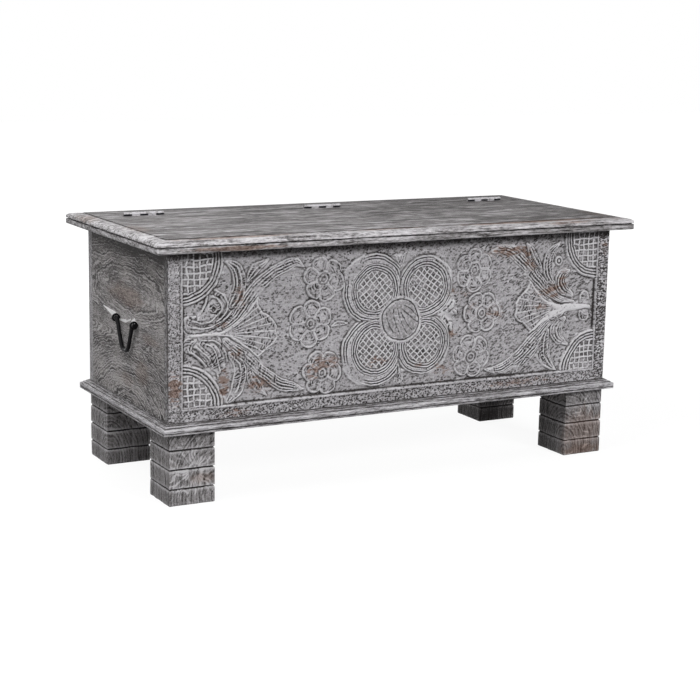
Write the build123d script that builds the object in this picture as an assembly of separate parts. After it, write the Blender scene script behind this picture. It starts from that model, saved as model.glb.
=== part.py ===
"""Damchiya chest: a carved dowry chest on four grooved block feet, with a hinged lid.

Millimetres. +X runs along the front to the right, +Y from the carved front to the back, +Z up.
The origin is on the floor, under the middle of the chest.

The carcass is four boards round a planked bottom: the front and back boards run the full width and
the side boards are dowelled between them. A moulded strip runs round its foot and a grooved block
stands under each corner. The top is one moulded slab sawn in two along its length: the rear rail is
dowelled to the carcass, and the lid swings on three butt hinges let into the saw cut. A forged bail
hangs from two split eyes on each side.
"""

import os
from math import atan2, cos, degrees, hypot, pi, sin

from build123d import *

# ------------------------------------------------------------------ driving sizes
BOX_WIDTH = 886.0            # outside of the side boards
BOX_DEPTH = 380.0            # face of the front board to face of the back board
CARCASS_HEIGHT = 304.0       # front, back and side boards
WALL = 18.0                  # thickness of those boards

FOOT_HEIGHT = 125.0
FOOT_WIDTH = 84.0            # along X
FOOT_DEPTH = 87.0            # along Y
FOOT_GROOVES = 3
FOOT_SOLE_BAND = 28.8        # floor to the middle of the lowest groove
FOOT_BAND = 33.2             # from one groove to the next
FOOT_GROOVE_DEPTH = 4.0
FOOT_GROOVE_FLOOR = 1.4      # height of the groove at its bottom
FOOT_GROOVE_CHAMFER = 2.4    # the eased edge of the band under each groove
FOOT_CORNER = 2.0            # radius of the upright corners
FOOT_EASING = 1.5            # chamfer round the sole

PLANK = 12.0                 # thickness of the bottom planks
RABBET = 10.0                # how far the planks are let in under each board
BOTTOM_PLANKS = 3
PLANK_GAP = 0.5

TOP_THICKNESS = 22.0
TOP_OVERHANG = 32.0          # beyond the carcass, on all four sides
TOP_CORNER = 4.0             # radius of the slab's upright corners
TOP_LOWER_ROUND = 4.5
TOP_GROOVE_HEIGHT = 9.8      # underside of the slab to the groove run round its edge
TOP_GROOVE_WIDTH = 2.4
TOP_GROOVE_DEPTH = 4.0
TOP_OVOLO_WIDTH = 11.0       # the rounding above the groove
TOP_BAND_WIDTH = 15.0        # the falling band between the rounding and the flat
TOP_BAND_FALL = 1.3
TOP_SHOULDER = 0.9           # step where the band meets the flat
SAW_CUT = 2.0                # between the lid and the rear rail
RAIL_DEPTH = 107.0           # back edge of the slab to the saw cut
LID_PLANKS = 3

MOULDING_HEIGHT = 18.0
MOULDING_PROJECTION = 15.5
MOULDING_CORNER = 3.0        # radius of the mitred upright corners
MOULDING_NOSE = 10.0         # height of the upright nose
MOULDING_NOSE_ROUND = 2.8    # upper edge of the nose
MOULDING_FOOT_ROUND = 1.6    # lower edge of the nose
MOULDING_GROOVE_HEIGHT = 3.6 # underside to the fine groove along the nose
MOULDING_GROOVE = 1.1        # width and depth of that groove
MOULDING_SLOPES = 3          # steps of the weathered top, each falling outward
MOULDING_FILLET = 0.8        # upright step between two slopes

BATTEN_WIDTH = 40.0
BATTEN_THICKNESS = 18.0
BATTEN_LENGTH = 250.0
BATTEN_INSET = 215.0         # end of the slab to the middle of each batten
BATTEN_ROUND = 4.0

HINGE_LENGTH = 76.0
HINGE_INSET_LEFT = 110.0     # end of the slab to the middle of the left hinge
HINGE_INSET_RIGHT = 116.0
HINGE_MIDDLE = -5.0          # the middle hinge was let in a little left of the middle
LEAF_THICKNESS = 1.5
LEAF_HEIGHT = 17.0
KNUCKLE_RADIUS = 3.2
KNUCKLES = 5
KNUCKLE_GAP = 0.3
HINGE_PIN_RADIUS = 1.5
HINGE_PIN_HEAD = 0.6         # the pin's heads beyond the barrel
BARREL_LIFT = 0.5            # barrel clear of the wood
RUNNING_CLEARANCE = 0.05     # pins in their holes, all round
SEAT_CLEARANCE = 0.1         # screws and leaves in the wood

BAIL_ROD = 3.8               # radius
BAIL_SPAN = 86.0             # eye to eye
BAIL_DROP = 50.0             # eyes to the middle of the rod at the bottom
BAIL_FOOT = 44.0             # between the legs where they meet the bottom, before its bends
BAIL_BEND = 20.0             # radius of the two bends at the bottom
BAIL_SHOULDER = 5.0          # radius of the bends beside the eyes
BAIL_TAIL = 6.0              # rod beyond each eye
BAIL_BUTTON = 1.3            # how far the upset end stands proud of the rod
EYE_WIRE = 1.7               # radius
EYE_CLEARANCE = 0.3          # bail rod in its eye, all round
EYE_SIDE_GAP = 1.0           # eye to the bail's leg
EYE_SHANK = 2.4              # radius
EYE_TAIL = 11.0              # length of each clenched tail
EYE_TAIL_THICKNESS = 2.0
HANDLE_HEIGHT = 285.0        # eyes above the floor
HANDLE_FORWARD = 10.0        # middle of the handle ahead of the middle of the side

DOWEL_RADIUS = 4.0
DOWEL_IN_FACE = 8.0          # depth in the board it enters from the face
DOWEL_IN_END = 26.0          # depth in the board it enters from the end
RAIL_DOWEL_IN_RAIL = 12.0
DOWELS_PER_CORNER = 3
RAIL_DOWELS = 5              # along the back board
RAIL_DOWEL_INSET = 83.0      # face of a side board to the middle of the nearest rail dowel

FOOT_SCREW = dict(length=48.0, shaft=2.5, head=5.0, cone=3.0)
FOOT_SCREW_INSET = 20.0      # inside faces of the boards to the screws
FOOT_SCREW_SPREAD = 34.0
HINGE_SCREW = dict(length=18.0, shaft=1.6, head=3.3, cone=1.3)
HINGE_SCREWS = 3
BATTEN_SCREW = dict(length=30.0, shaft=2.0, head=4.2, cone=2.4)
NAIL_RADIUS = 0.8
NAIL_LENGTH = 28.0
NAIL_HEAD = 1.2
NAIL_HEAD_THICKNESS = 0.8
FRONT_NAILS = 5
SIDE_NAILS = 2

CARVE_DEPTH = 4.5            # ground of the carved field below the face of the board
FIELD_SIDE_MARGIN = 24.0
FIELD_TOP_MARGIN = 16.0
FIELD_BOTTOM_MARGIN = 40.0
BEAD_WIDTH = 3.6             # plain fillet left standing round the field
MARGIN_SINK = 1.2            # the rough margin outside that fillet

# ------------------------------------------------------------------ places worked out from them
BOX_BASE = FOOT_HEIGHT
BOX_TOP = BOX_BASE + CARCASS_HEIGHT
TOP_Z = BOX_TOP + TOP_THICKNESS
HALF_W = BOX_WIDTH / 2
HALF_D = BOX_DEPTH / 2
INSIDE_W = BOX_WIDTH - 2 * WALL
INSIDE_D = BOX_DEPTH - 2 * WALL
SIDE_X = HALF_W - WALL / 2   # middle of a side board's thickness
PLANK_TOP = BOX_BASE + PLANK
SLAB_HALF_W = HALF_W + TOP_OVERHANG
SLAB_HALF_D = HALF_D + TOP_OVERHANG
CUT_Y = SLAB_HALF_D - RAIL_DEPTH
LID_BACK = CUT_Y - SAW_CUT / 2
RAIL_FRONT = CUT_Y + SAW_CUT / 2
PIN_Z = TOP_Z + BARREL_LIFT + KNUCKLE_RADIUS
HINGE_PLACES = {
    "left": -SLAB_HALF_W + HINGE_INSET_LEFT,
    "middle": HINGE_MIDDLE,
    "right": SLAB_HALF_W - HINGE_INSET_RIGHT,
}
BATTEN_PLACES = {"left": -SLAB_HALF_W + BATTEN_INSET, "right": SLAB_HALF_W - BATTEN_INSET}
LEAF_BASE = TOP_Z - LEAF_HEIGHT
KNUCKLE_LENGTH = (HINGE_LENGTH - (KNUCKLES - 1) * KNUCKLE_GAP) / KNUCKLES
EYE_HOLE = BAIL_ROD + EYE_CLEARANCE
EYE_RING = EYE_HOLE + EYE_WIRE            # radius of the ring's own middle line
PIVOT_OFF = EYE_RING + EYE_WIRE           # bail's axis off the face of the side board
EYE_PLACES = {"front": -HANDLE_FORWARD - BAIL_SPAN / 2, "rear": -HANDLE_FORWARD + BAIL_SPAN / 2}

FIELD_LEFT = -HALF_W + FIELD_SIDE_MARGIN
FIELD_RIGHT = HALF_W - FIELD_SIDE_MARGIN
FIELD_BASE = BOX_BASE + FIELD_BOTTOM_MARGIN
FIELD_TOP = BOX_TOP - FIELD_TOP_MARGIN
FIELD_MID = (FIELD_BASE + FIELD_TOP) / 2
GROUND_Y = -HALF_D + CARVE_DEPTH


# ------------------------------------------------------------------ helpers
def block(x0, x1, y0, y1, z0, z1):
    """A box between two corners."""
    return Pos((x0 + x1) / 2, (y0 + y1) / 2, (z0 + z1) / 2) * Box(x1 - x0, y1 - y0, z1 - z0)


def spread(count, pitch):
    """Places of count things, pitch apart, about the middle."""
    return [(i - (count - 1) / 2) * pitch for i in range(count)]


def both_ways(section, half_w, half_d, base):
    """The solid with the same edge section on all four sides: one run along X cut by one along Y."""
    along_y = extrude(Plane.XZ * section(half_w), 2 * half_d, both=True)
    along_x = extrude(Plane.YZ * section(half_d), 2 * half_w, both=True)
    return Pos(0, 0, base) * (along_y & along_x)


def rounded_column(half_w, half_d, radius):
    """A tall column with rounded upright corners, to round the corners of what stands in it."""
    return extrude(RectangleRounded(2 * half_w, 2 * half_d, radius), TOP_Z)


def mirrored_section(half_outline):
    """A closed section from the edges of its right-hand half, which start and end on the Z axis."""
    half = Curve() + half_outline
    return make_face(half + mirror(half, Plane.YZ))


def screw(length, shaft, head, cone, fit=0.0):
    """A countersunk wood screw with its head's face at the origin, pointing down. fit grows it into its own hole."""
    tip = 3 * shaft
    outline = Polyline(
        (0, 0), (head + fit, 0), (shaft + fit, -cone), (shaft + fit, tip - length), (0, -length - fit), close=True
    )
    body = revolve(Plane.XZ * make_face(outline), Axis.Z)
    if fit:
        return body
    slot = Box(2 * head, shaft / 2, cone / 2)
    return body - Pos(0, 0, -cone / 4) * slot


def dowel(length, fit=0.0):
    """A round peg along Z about its middle."""
    return Cylinder(DOWEL_RADIUS + fit, length + 2 * fit)


def save(name, shape):
    """Writes one node: a solid, or a group of separate ones."""
    solids = shape.solids()
    export_step(solids[0] if len(solids) == 1 else Compound(children=solids), f"parts/{name}.step")


def save_group(name, shapes):
    """Writes identical pieces as one node."""
    save(name, Compound(children=[s for shape in shapes for s in shape.solids()]))


# ------------------------------------------------------------------ fasteners and the places they go
def corner_dowel_places():
    """Pegs along Y from the front and back boards into the ends of the side boards."""
    pitch = CARCASS_HEIGHT / (DOWELS_PER_CORNER + 1)
    length = DOWEL_IN_FACE + DOWEL_IN_END
    middle = HALF_D - WALL + (DOWEL_IN_FACE - DOWEL_IN_END) / 2
    places = []
    for side in (-1, 1):
        for end in (-1, 1):
            for dz in spread(DOWELS_PER_CORNER, pitch):
                spot = (side * SIDE_X, end * middle, BOX_BASE + CARCASS_HEIGHT / 2 + dz)
                places.append(Location(spot, (90, 0, 0)))
    return places, length


def rail_dowel_places():
    """Pegs along Z that hold the rear rail down on the back board and the side boards."""
    length = RAIL_DOWEL_IN_RAIL + DOWEL_IN_END
    z = BOX_TOP + (RAIL_DOWEL_IN_RAIL - DOWEL_IN_END) / 2
    pitch = 2 * (HALF_W - RAIL_DOWEL_INSET) / (RAIL_DOWELS - 1)
    spots = [(x, HALF_D - WALL / 2, z) for x in spread(RAIL_DOWELS, pitch)]
    rail_over_side = (RAIL_FRONT + HALF_D - WALL) / 2
    spots += [(side * SIDE_X, rail_over_side, z) for side in (-1, 1)]
    return [Location(spot) for spot in spots], length


def foot_screw_places():
    """Screws down through the bottom planks into each foot."""
    near_x, near_y = INSIDE_W / 2 - FOOT_SCREW_INSET, INSIDE_D / 2 - FOOT_SCREW_INSET
    spots = []
    for sx in (-1, 1):
        for sy in (-1, 1):
            spots += [
                (sx * near_x, sy * near_y, PLANK_TOP),
                (sx * (near_x - FOOT_SCREW_SPREAD), sy * near_y, PLANK_TOP),
                (sx * near_x, sy * (near_y - FOOT_SCREW_SPREAD), PLANK_TOP),
            ]
    return [Location(spot) for spot in spots]


def hinge_screw_places(toward):
    """Screws through one leaf of every hinge: toward is 1 for the rail's leaf and -1 for the lid's."""
    y = CUT_Y + toward * SAW_CUT / 2
    z = LEAF_BASE + LEAF_HEIGHT / 2
    tilt = 90 * toward
    pitch = HINGE_LENGTH / HINGE_SCREWS
    return [
        Location((x + dx, y, z), (tilt, 0, 0)) for x in HINGE_PLACES.values() for dx in spread(HINGE_SCREWS, pitch)
    ]


def batten_screw_places():
    """One screw up through each batten into each of the lid's planks, midway along what they share."""
    z = BOX_TOP - BATTEN_THICKNESS
    ends = batten_middle() - BATTEN_LENGTH / 2, batten_middle() + BATTEN_LENGTH / 2
    places = []
    for i in range(LID_PLANKS):
        y0 = -SLAB_HALF_D + i * plank_width()
        y = (max(y0, ends[0]) + min(y0 + plank_width(), ends[1])) / 2
        places += [Location((x, y, z), (180, 0, 0)) for x in BATTEN_PLACES.values()]
    return places


def nail_places():
    """Brads through the nose of the moulding into the boards."""
    z = BOX_BASE + (MOULDING_GROOVE_HEIGHT + MOULDING_GROOVE + MOULDING_NOSE - MOULDING_NOSE_ROUND) / 2
    places = []
    for end, turn in ((-1, 90), (1, -90)):
        for x in spread(FRONT_NAILS, BOX_WIDTH / FRONT_NAILS):
            places.append(Location((x, end * (HALF_D + MOULDING_PROJECTION), z), (turn, 0, 0)))
    for side, turn in ((-1, -90), (1, 90)):
        for y in spread(SIDE_NAILS, BOX_DEPTH / SIDE_NAILS):
            places.append(Location((side * (HALF_W + MOULDING_PROJECTION), y, z), (0, turn, 0)))
    return places


def nail(fit=0.0):
    """A brad with its head's face at the origin, pointing down."""
    head = Pos(0, 0, -NAIL_HEAD_THICKNESS / 2) * Cylinder(NAIL_HEAD + fit, NAIL_HEAD_THICKNESS + 2 * fit)
    return head + Pos(0, 0, -(NAIL_LENGTH + fit) / 2) * Cylinder(NAIL_RADIUS + fit, NAIL_LENGTH + fit)


def drill(shape, cutter, places):
    """shape with cutter taken out at every place that it reaches."""
    return shape - [place * cutter for place in places]


# ------------------------------------------------------------------ the carving, as a low relief
# Points of the leaf spray are (out from the left end of the field, up from its middle line), drawn for
# a field of DRAWN_HEIGHT and scaled with the field's real height.
DRAWN_HEIGHT = 248.0
DRAWN = (FIELD_TOP - FIELD_BASE) / DRAWN_HEIGHT
LEAF_RELIEF = 3.4
VEIN_RELIEF = 0.8
VEIN_WIDTH = 0.34            # of the leaf's width
QUADRANT_RADIUS = 72.0
QUADRANT_PIT = 58.0
PIT_FLOOR = 1.6              # sunken middles of the discs above the ground of the field
FAN_RIB = 2.4
RING_GROOVE = 2.0
RING_GROOVE_DEPTH = 1.6
PETAL_OFFSET = 51.0          # each way, boss to the middle of a petal
PETAL_RADIUS = 58.0
PETAL_PIT = 38.0
PETAL_RINGS = (44.0, 51.0)
BOSS_RADIUS = 37.0
BOSS_RELIEF = 4.2
BUD_LENGTH = 30.0
BUD_WIDTH = 12.0
ROSETTE_RADIUS = 39.0
ROSETTE_PETALS = 6
ROSETTE_EYE = 9.0
ROSETTE_SPOTS = ((156.0, 80.0), (177.0, 4.0), (156.0, -82.0))   # out from the middle, up from the middle line
FAN_APEX = 84.0
FAN_RADIUS = 92.0
FAN_SPREAD = 33.0            # degrees each side of level
FAN_RIBS = 7
VOLUTE_SPOT = (14.0, 20.0)
VOLUTE_RADIUS = 12.0
LEAVES = {
    # name: (points along the middle of the leaf, half its width at each)
    "long": (((22, 6), (56, 4), (86, 18), (112, 46), (140, 84), (176, 108), (218, 104)), (3, 6, 9, 10, 12, 9, 0)),
    "side": (((112, 58), (128, 88), (156, 120)), (4, 8, 0)),
    "crescent": (((96, 40), (111, 70), (108, 100), (72, 122)), (4, 11, 12, 0)),
    "inner": (((34, 18), (60, 24), (74, 46), (62, 76)), (4, 13, 13, 0)),
}


def on_front(face, relief, above=0.0):
    """A face drawn in X and Z, standing relief proud of a level above the ground of the field."""
    return extrude(Plane((0, GROUND_Y - above, 0), x_dir=(1, 0, 0), z_dir=(0, -1, 0)) * face, relief)


def leaf_face(points, widths):
    """A pointed leaf about a bent middle line."""
    left, right = [], []
    for i, ((x, z), w) in enumerate(zip(points, widths)):
        (xa, za), (xb, zb) = points[max(i - 1, 0)], points[min(i + 1, len(points) - 1)]
        run = hypot(xb - xa, zb - za)
        nx, nz = -(zb - za) / run, (xb - xa) / run
        left.append((x + nx * w, z + nz * w))
        right.append((x - nx * w, z - nz * w))
    edges = [Spline(*left), Spline(*right)]
    if widths[0]:
        edges.append(Line(left[0], right[0]))
    return make_face(Curve() + edges)


def drawn(point, flip):
    """A point of the spray in the chest's own X and Z."""
    return FIELD_LEFT + point[0] * DRAWN, FIELD_MID + flip * point[1] * DRAWN


def spray():
    """The left-hand spray: leaves above and below the middle line, a volute each, and the fan."""
    solids = []
    for flip in (-1, 1):
        for points, widths in LEAVES.values():
            spots = [drawn(p, flip) for p in points]
            solids.append(on_front(leaf_face(spots, [w * DRAWN for w in widths]), LEAF_RELIEF))
            vein = [max(w * VEIN_WIDTH, 0.0) * DRAWN for w in widths]
            solids.append(on_front(leaf_face(spots, vein), VEIN_RELIEF + LEAF_RELIEF))
        x, z = drawn(VOLUTE_SPOT, flip)
        solids.append(on_front(Pos(x, z) * Circle(VOLUTE_RADIUS * DRAWN), LEAF_RELIEF - VEIN_RELIEF))
    apex = drawn((FAN_APEX, 0), 1)
    reach = FAN_RADIUS * DRAWN
    rim = [
        (apex[0] + reach * cos(FAN_SPREAD * pi / 180 * t), apex[1] + reach * sin(FAN_SPREAD * pi / 180 * t))
        for t in (-1, -0.5, 0, 0.5, 1)
    ]
    outline = [Line(apex, rim[0]), Line(rim[-1], apex)]
    outline += [RadiusArc(a, b, -reach / 3) for a, b in zip(rim, rim[1:])]
    solids.append(on_front(make_face(Curve() + outline), LEAF_RELIEF - VEIN_RELIEF))
    for i in range(FAN_RIBS):
        turn = FAN_SPREAD * (2 * i / (FAN_RIBS - 1) - 1)
        rib = Pos(*apex) * Rot(0, 0, turn) * Pos(reach * 0.54, 0) * Rectangle(reach * 0.8, FAN_RIB)
        solids.append(on_front(rib, LEAF_RELIEF))
    return solids


def grooved_disc(x, z, radius, rings, pit, relief):
    """A raised disc with grooves round it and a sunken middle."""
    spot = Pos(x, z)
    grooves = [spot * (Circle(r) - Circle(r - RING_GROOVE)) for r in rings]
    cuts = [on_front(groove, relief, relief - RING_GROOVE_DEPTH) for groove in grooves]
    cuts.append(on_front(spot * Circle(pit), relief, PIT_FLOOR))
    return on_front(spot * Circle(radius), relief) - cuts


def medallion():
    """The quatrefoil in the middle: four grooved petals, a bud between each pair, and the round boss."""
    solids = []
    offset = PETAL_OFFSET * DRAWN
    for sx in (-1, 1):
        for sz in (-1, 1):
            x, z = sx * offset, FIELD_MID + sz * offset
            rings = [r * DRAWN for r in PETAL_RINGS]
            solids.append(
                grooved_disc(x, z, PETAL_RADIUS * DRAWN, rings, PETAL_PIT * DRAWN, LEAF_RELIEF)
            )
    whole = solids[0] + solids[1:]
    whole -= on_front(Pos(0, FIELD_MID) * Circle(BOSS_RADIUS * DRAWN + RING_GROOVE), CARVE_DEPTH, PIT_FLOOR)
    boss = on_front(Pos(0, FIELD_MID) * Circle(BOSS_RADIUS * DRAWN), BOSS_RELIEF)
    buds = []
    for turn in (0, 90, 180, 270):
        start = (BOSS_RADIUS + PETAL_OFFSET - BUD_LENGTH / 2) * DRAWN
        tip, wide = start + BUD_LENGTH * DRAWN, BUD_WIDTH / 2 * DRAWN
        diamond = Polyline((start, 0), ((start + tip) / 2, wide), (tip, 0), ((start + tip) / 2, -wide), close=True)
        face = Pos(0, FIELD_MID) * Rot(0, 0, turn) * make_face(diamond)
        buds.append(on_front(face, LEAF_RELIEF - VEIN_RELIEF))
    return [whole + boss] + buds


def rosette(x, z):
    """Six round petals about a small eye."""
    petal = ROSETTE_RADIUS * DRAWN / 2
    solids = []
    for i in range(ROSETTE_PETALS):
        turn = 2 * pi * i / ROSETTE_PETALS
        spot = Pos(x + petal * cos(turn), z + petal * sin(turn))
        solids.append(on_front(spot * Circle(petal * 0.94), LEAF_RELIEF - (i % 2) * VEIN_RELIEF / 2))
    solids.append(on_front(Pos(x, z) * Circle(ROSETTE_EYE * DRAWN), LEAF_RELIEF + VEIN_RELIEF))
    return solids[0] + solids[1:]


def carving():
    """Everything that stands up from the ground of the field."""
    left = spray() + [
        rosette(-out * DRAWN, FIELD_MID + up * DRAWN) for out, up in ROSETTE_SPOTS
    ]
    for z in (FIELD_BASE, FIELD_TOP):
        radius = QUADRANT_RADIUS * DRAWN
        pit = QUADRANT_PIT * DRAWN
        rings = [(pit + radius + RING_GROOVE) / 2]
        quadrant = grooved_disc(FIELD_LEFT, z, radius, rings, pit, LEAF_RELIEF)
        field = block(FIELD_LEFT, 0, -HALF_D, GROUND_Y, FIELD_BASE, FIELD_TOP)
        left.append(quadrant & field)
    right = [mirror(solid, Plane.YZ) for solid in left]
    return left + right + medallion()


# ------------------------------------------------------------------ carcass
def rabbet_cutter():
    """The space that the bottom planks fill, let in under the boards."""
    half_w, half_d = INSIDE_W / 2 + RABBET, INSIDE_D / 2 + RABBET
    return block(-half_w, half_w, -half_d, half_d, BOX_BASE, PLANK_TOP)


def drilled_board(board):
    """A board of the carcass with its rabbet, its peg holes and its nail holes."""
    corner, corner_length = corner_dowel_places()
    rail, rail_length = rail_dowel_places()
    board -= rabbet_cutter()
    board = drill(board, dowel(corner_length, SEAT_CLEARANCE), corner)
    board = drill(board, dowel(rail_length, SEAT_CLEARANCE), rail)
    return drill(board, nail(SEAT_CLEARANCE), nail_places())


def front_board():
    """Full width, with the carved field sunk in its face and a rough margin round it."""
    board = block(-HALF_W, HALF_W, -HALF_D, -HALF_D + WALL, BOX_BASE, BOX_TOP)
    face = -HALF_D
    margin = block(-HALF_W, HALF_W, face, face + MARGIN_SINK, BOX_BASE, BOX_TOP)
    margin -= block(
        FIELD_LEFT - BEAD_WIDTH, FIELD_RIGHT + BEAD_WIDTH, face, face + MARGIN_SINK,
        FIELD_BASE - BEAD_WIDTH, FIELD_TOP + BEAD_WIDTH,
    )
    board = drilled_board(board) - margin
    board -= block(FIELD_LEFT, FIELD_RIGHT, face, GROUND_Y, FIELD_BASE, FIELD_TOP)
    return board + carving()


def back_board():
    """Full width and plain."""
    return drilled_board(block(-HALF_W, HALF_W, HALF_D - WALL, HALF_D, BOX_BASE, BOX_TOP))


def side_board(side):
    """Between the front and back boards, bored for the shanks of the handle's two eyes."""
    x0, x1 = sorted((side * (HALF_W - WALL), side * HALF_W))
    board = drilled_board(block(x0, x1, -HALF_D + WALL, HALF_D - WALL, BOX_BASE, BOX_TOP))
    shank_hole = Rot(0, 90, 0) * Cylinder(EYE_SHANK + SEAT_CLEARANCE, 3 * WALL)
    return board - [Pos(side * SIDE_X, y, HANDLE_HEIGHT) * shank_hole for y in EYE_PLACES.values()]


def bottom_planks():
    """Planks along X, let in under the boards and screwed through to the feet."""
    half_w, half_d = INSIDE_W / 2 + RABBET, INSIDE_D / 2 + RABBET
    width = (2 * half_d - (BOTTOM_PLANKS - 1) * PLANK_GAP) / BOTTOM_PLANKS
    planks = []
    for y in spread(BOTTOM_PLANKS, width + PLANK_GAP):
        plank = block(-half_w, half_w, y - width / 2, y + width / 2, BOX_BASE, PLANK_TOP)
        plank = drill(plank, screw(**FOOT_SCREW, fit=SEAT_CLEARANCE), foot_screw_places())
        planks.append(drill(plank, nail(SEAT_CLEARANCE), nail_places()))
    return planks


def foot(sx, sy):
    """A square block with three grooves run round it, its outer corner under the carcass's corner."""

    def section(half):
        points = [(0, 0), (half - FOOT_EASING, 0), (half, FOOT_EASING)]
        for i in range(FOOT_GROOVES):
            z = FOOT_SOLE_BAND + i * FOOT_BAND
            points += [
                (half, z - FOOT_GROOVE_FLOOR / 2 - FOOT_GROOVE_CHAMFER),
                (half - FOOT_GROOVE_DEPTH, z - FOOT_GROOVE_FLOOR / 2),
                (half - FOOT_GROOVE_DEPTH, z + FOOT_GROOVE_FLOOR / 2),
                (half, z + FOOT_GROOVE_FLOOR / 2),
            ]
        points += [(half, FOOT_HEIGHT), (0, FOOT_HEIGHT)]
        return mirrored_section([Polyline(*points)])

    body = both_ways(section, FOOT_WIDTH / 2, FOOT_DEPTH / 2, 0)
    body &= extrude(RectangleRounded(FOOT_WIDTH, FOOT_DEPTH, FOOT_CORNER), FOOT_HEIGHT)
    place = Pos(sx * (HALF_W - FOOT_WIDTH / 2), sy * (HALF_D - FOOT_DEPTH / 2), 0)
    return drill(place * body, screw(**FOOT_SCREW, fit=SEAT_CLEARANCE), foot_screw_places())


def moulding():
    """The strip round the foot of the carcass, mitred at the corners, as {name: solid}."""

    def section(edge):
        g0 = MOULDING_GROOVE_HEIGHT
        g1 = g0 + MOULDING_GROOVE
        run = MOULDING_PROJECTION / MOULDING_SLOPES
        fall = (MOULDING_HEIGHT - MOULDING_NOSE - (MOULDING_SLOPES - 1) * MOULDING_FILLET) / MOULDING_SLOPES
        foot = FilletPolyline((0, 0), (edge, 0), (edge, g0), radius=MOULDING_FOOT_ROUND)
        groove = Polyline((edge, g0), (edge - MOULDING_GROOVE, g0), (edge - MOULDING_GROOVE, g1), (edge, g1))
        slope_head = (edge - run, MOULDING_NOSE + fall)
        nose = FilletPolyline((edge, g1), (edge, MOULDING_NOSE), slope_head, radius=MOULDING_NOSE_ROUND)
        points = [slope_head]
        for i in range(1, MOULDING_SLOPES):
            x, z = points[-1]
            points += [(x, z + MOULDING_FILLET), (x - run, z + MOULDING_FILLET + fall)]
        return mirrored_section([foot, groove, nose, Polyline(*points, (0, MOULDING_HEIGHT))])

    out_w, out_d = HALF_W + MOULDING_PROJECTION, HALF_D + MOULDING_PROJECTION
    ring = both_ways(section, out_w, out_d, BOX_BASE) & rounded_column(out_w, out_d, MOULDING_CORNER)
    ring -= block(-HALF_W, HALF_W, -HALF_D, HALF_D, 0, BOX_TOP)
    ring = drill(ring, nail(SEAT_CLEARANCE), nail_places())
    strips = {}
    far = 2 * MOULDING_PROJECTION
    for name, sx, sy in (("front", 0, -1), ("back", 0, 1), ("left", -1, 0), ("right", 1, 0)):
        if sy:
            corners = [(-HALF_W, sy * HALF_D), (HALF_W, sy * HALF_D)]
            corners += [(HALF_W + far, sy * (HALF_D + far)), (-HALF_W - far, sy * (HALF_D + far))]
        else:
            corners = [(sx * HALF_W, -HALF_D), (sx * HALF_W, HALF_D)]
            corners += [(sx * (HALF_W + far), HALF_D + far), (sx * (HALF_W + far), -HALF_D - far)]
        wedge = extrude(make_face(Polyline(*corners, close=True)), BOX_TOP)
        strips[name] = ring & wedge
    return strips


# ------------------------------------------------------------------ top: rear rail and lid
def slab():
    """The whole top before it is sawn, with the groove and the broad rounding run round its edge."""

    def section(half):
        edge, g0 = half, TOP_GROOVE_HEIGHT
        g1 = g0 + TOP_GROOVE_WIDTH
        band_head = TOP_THICKNESS - TOP_SHOULDER
        band_foot = band_head - TOP_BAND_FALL
        lower = FilletPolyline((0, 0), (edge, 0), (edge, g0), radius=TOP_LOWER_ROUND)
        groove = Polyline((edge, g0), (edge - TOP_GROOVE_DEPTH, g0), (edge - TOP_GROOVE_DEPTH, g1), (edge, g1))
        turn = edge - TOP_OVOLO_WIDTH
        ovolo = EllipticalCenterArc((turn, g1), TOP_OVOLO_WIDTH, band_foot - g1, arc_size=90)
        flat = turn - TOP_BAND_WIDTH
        upper = Polyline((turn, band_foot), (flat, band_head), (flat, TOP_THICKNESS), (0, TOP_THICKNESS))
        return mirrored_section([lower, groove, ovolo, upper])

    whole = both_ways(section, SLAB_HALF_W, SLAB_HALF_D, BOX_TOP)
    return whole & rounded_column(SLAB_HALF_W, SLAB_HALF_D, TOP_CORNER)


def leaf_pockets():
    """The shallow housings in both faces of the saw cut that the hinge leaves lie in."""
    half = HINGE_LENGTH / 2 + SEAT_CLEARANCE
    deep = SAW_CUT / 2 + LEAF_THICKNESS + SEAT_CLEARANCE
    return [
        block(x - half, x + half, CUT_Y - deep, CUT_Y + deep, LEAF_BASE - SEAT_CLEARANCE, TOP_Z)
        for x in HINGE_PLACES.values()
    ]


def rear_rail(whole):
    """The part of the slab behind the saw cut, pegged down to the carcass."""
    places, length = rail_dowel_places()
    rail = whole & block(-SLAB_HALF_W, SLAB_HALF_W, RAIL_FRONT, SLAB_HALF_D, BOX_TOP, TOP_Z)
    rail -= leaf_pockets()
    rail = drill(rail, dowel(length, SEAT_CLEARANCE), places)
    return drill(rail, screw(**HINGE_SCREW, fit=SEAT_CLEARANCE), hinge_screw_places(1))


def plank_width():
    """Width of one plank of the lid."""
    return (LID_BACK + SLAB_HALF_D) / LID_PLANKS


def lid_planks(whole):
    """The part of the slab before the saw cut, of planks glued edge to edge, front one first."""
    width = plank_width()
    planks = []
    for i in range(LID_PLANKS):
        y0 = -SLAB_HALF_D + i * width
        plank = whole & block(-SLAB_HALF_W, SLAB_HALF_W, y0, y0 + width, BOX_TOP, TOP_Z)
        plank = drill(plank, screw(**BATTEN_SCREW, fit=SEAT_CLEARANCE), batten_screw_places())
        if i == LID_PLANKS - 1:
            plank -= leaf_pockets()
            plank = drill(plank, screw(**HINGE_SCREW, fit=SEAT_CLEARANCE), hinge_screw_places(-1))
        planks.append(plank)
    return planks


def batten_middle():
    """Where the battens' middles lie in Y: halfway between the front board and the rear rail."""
    return (LID_BACK - HALF_D + WALL) / 2


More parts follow.
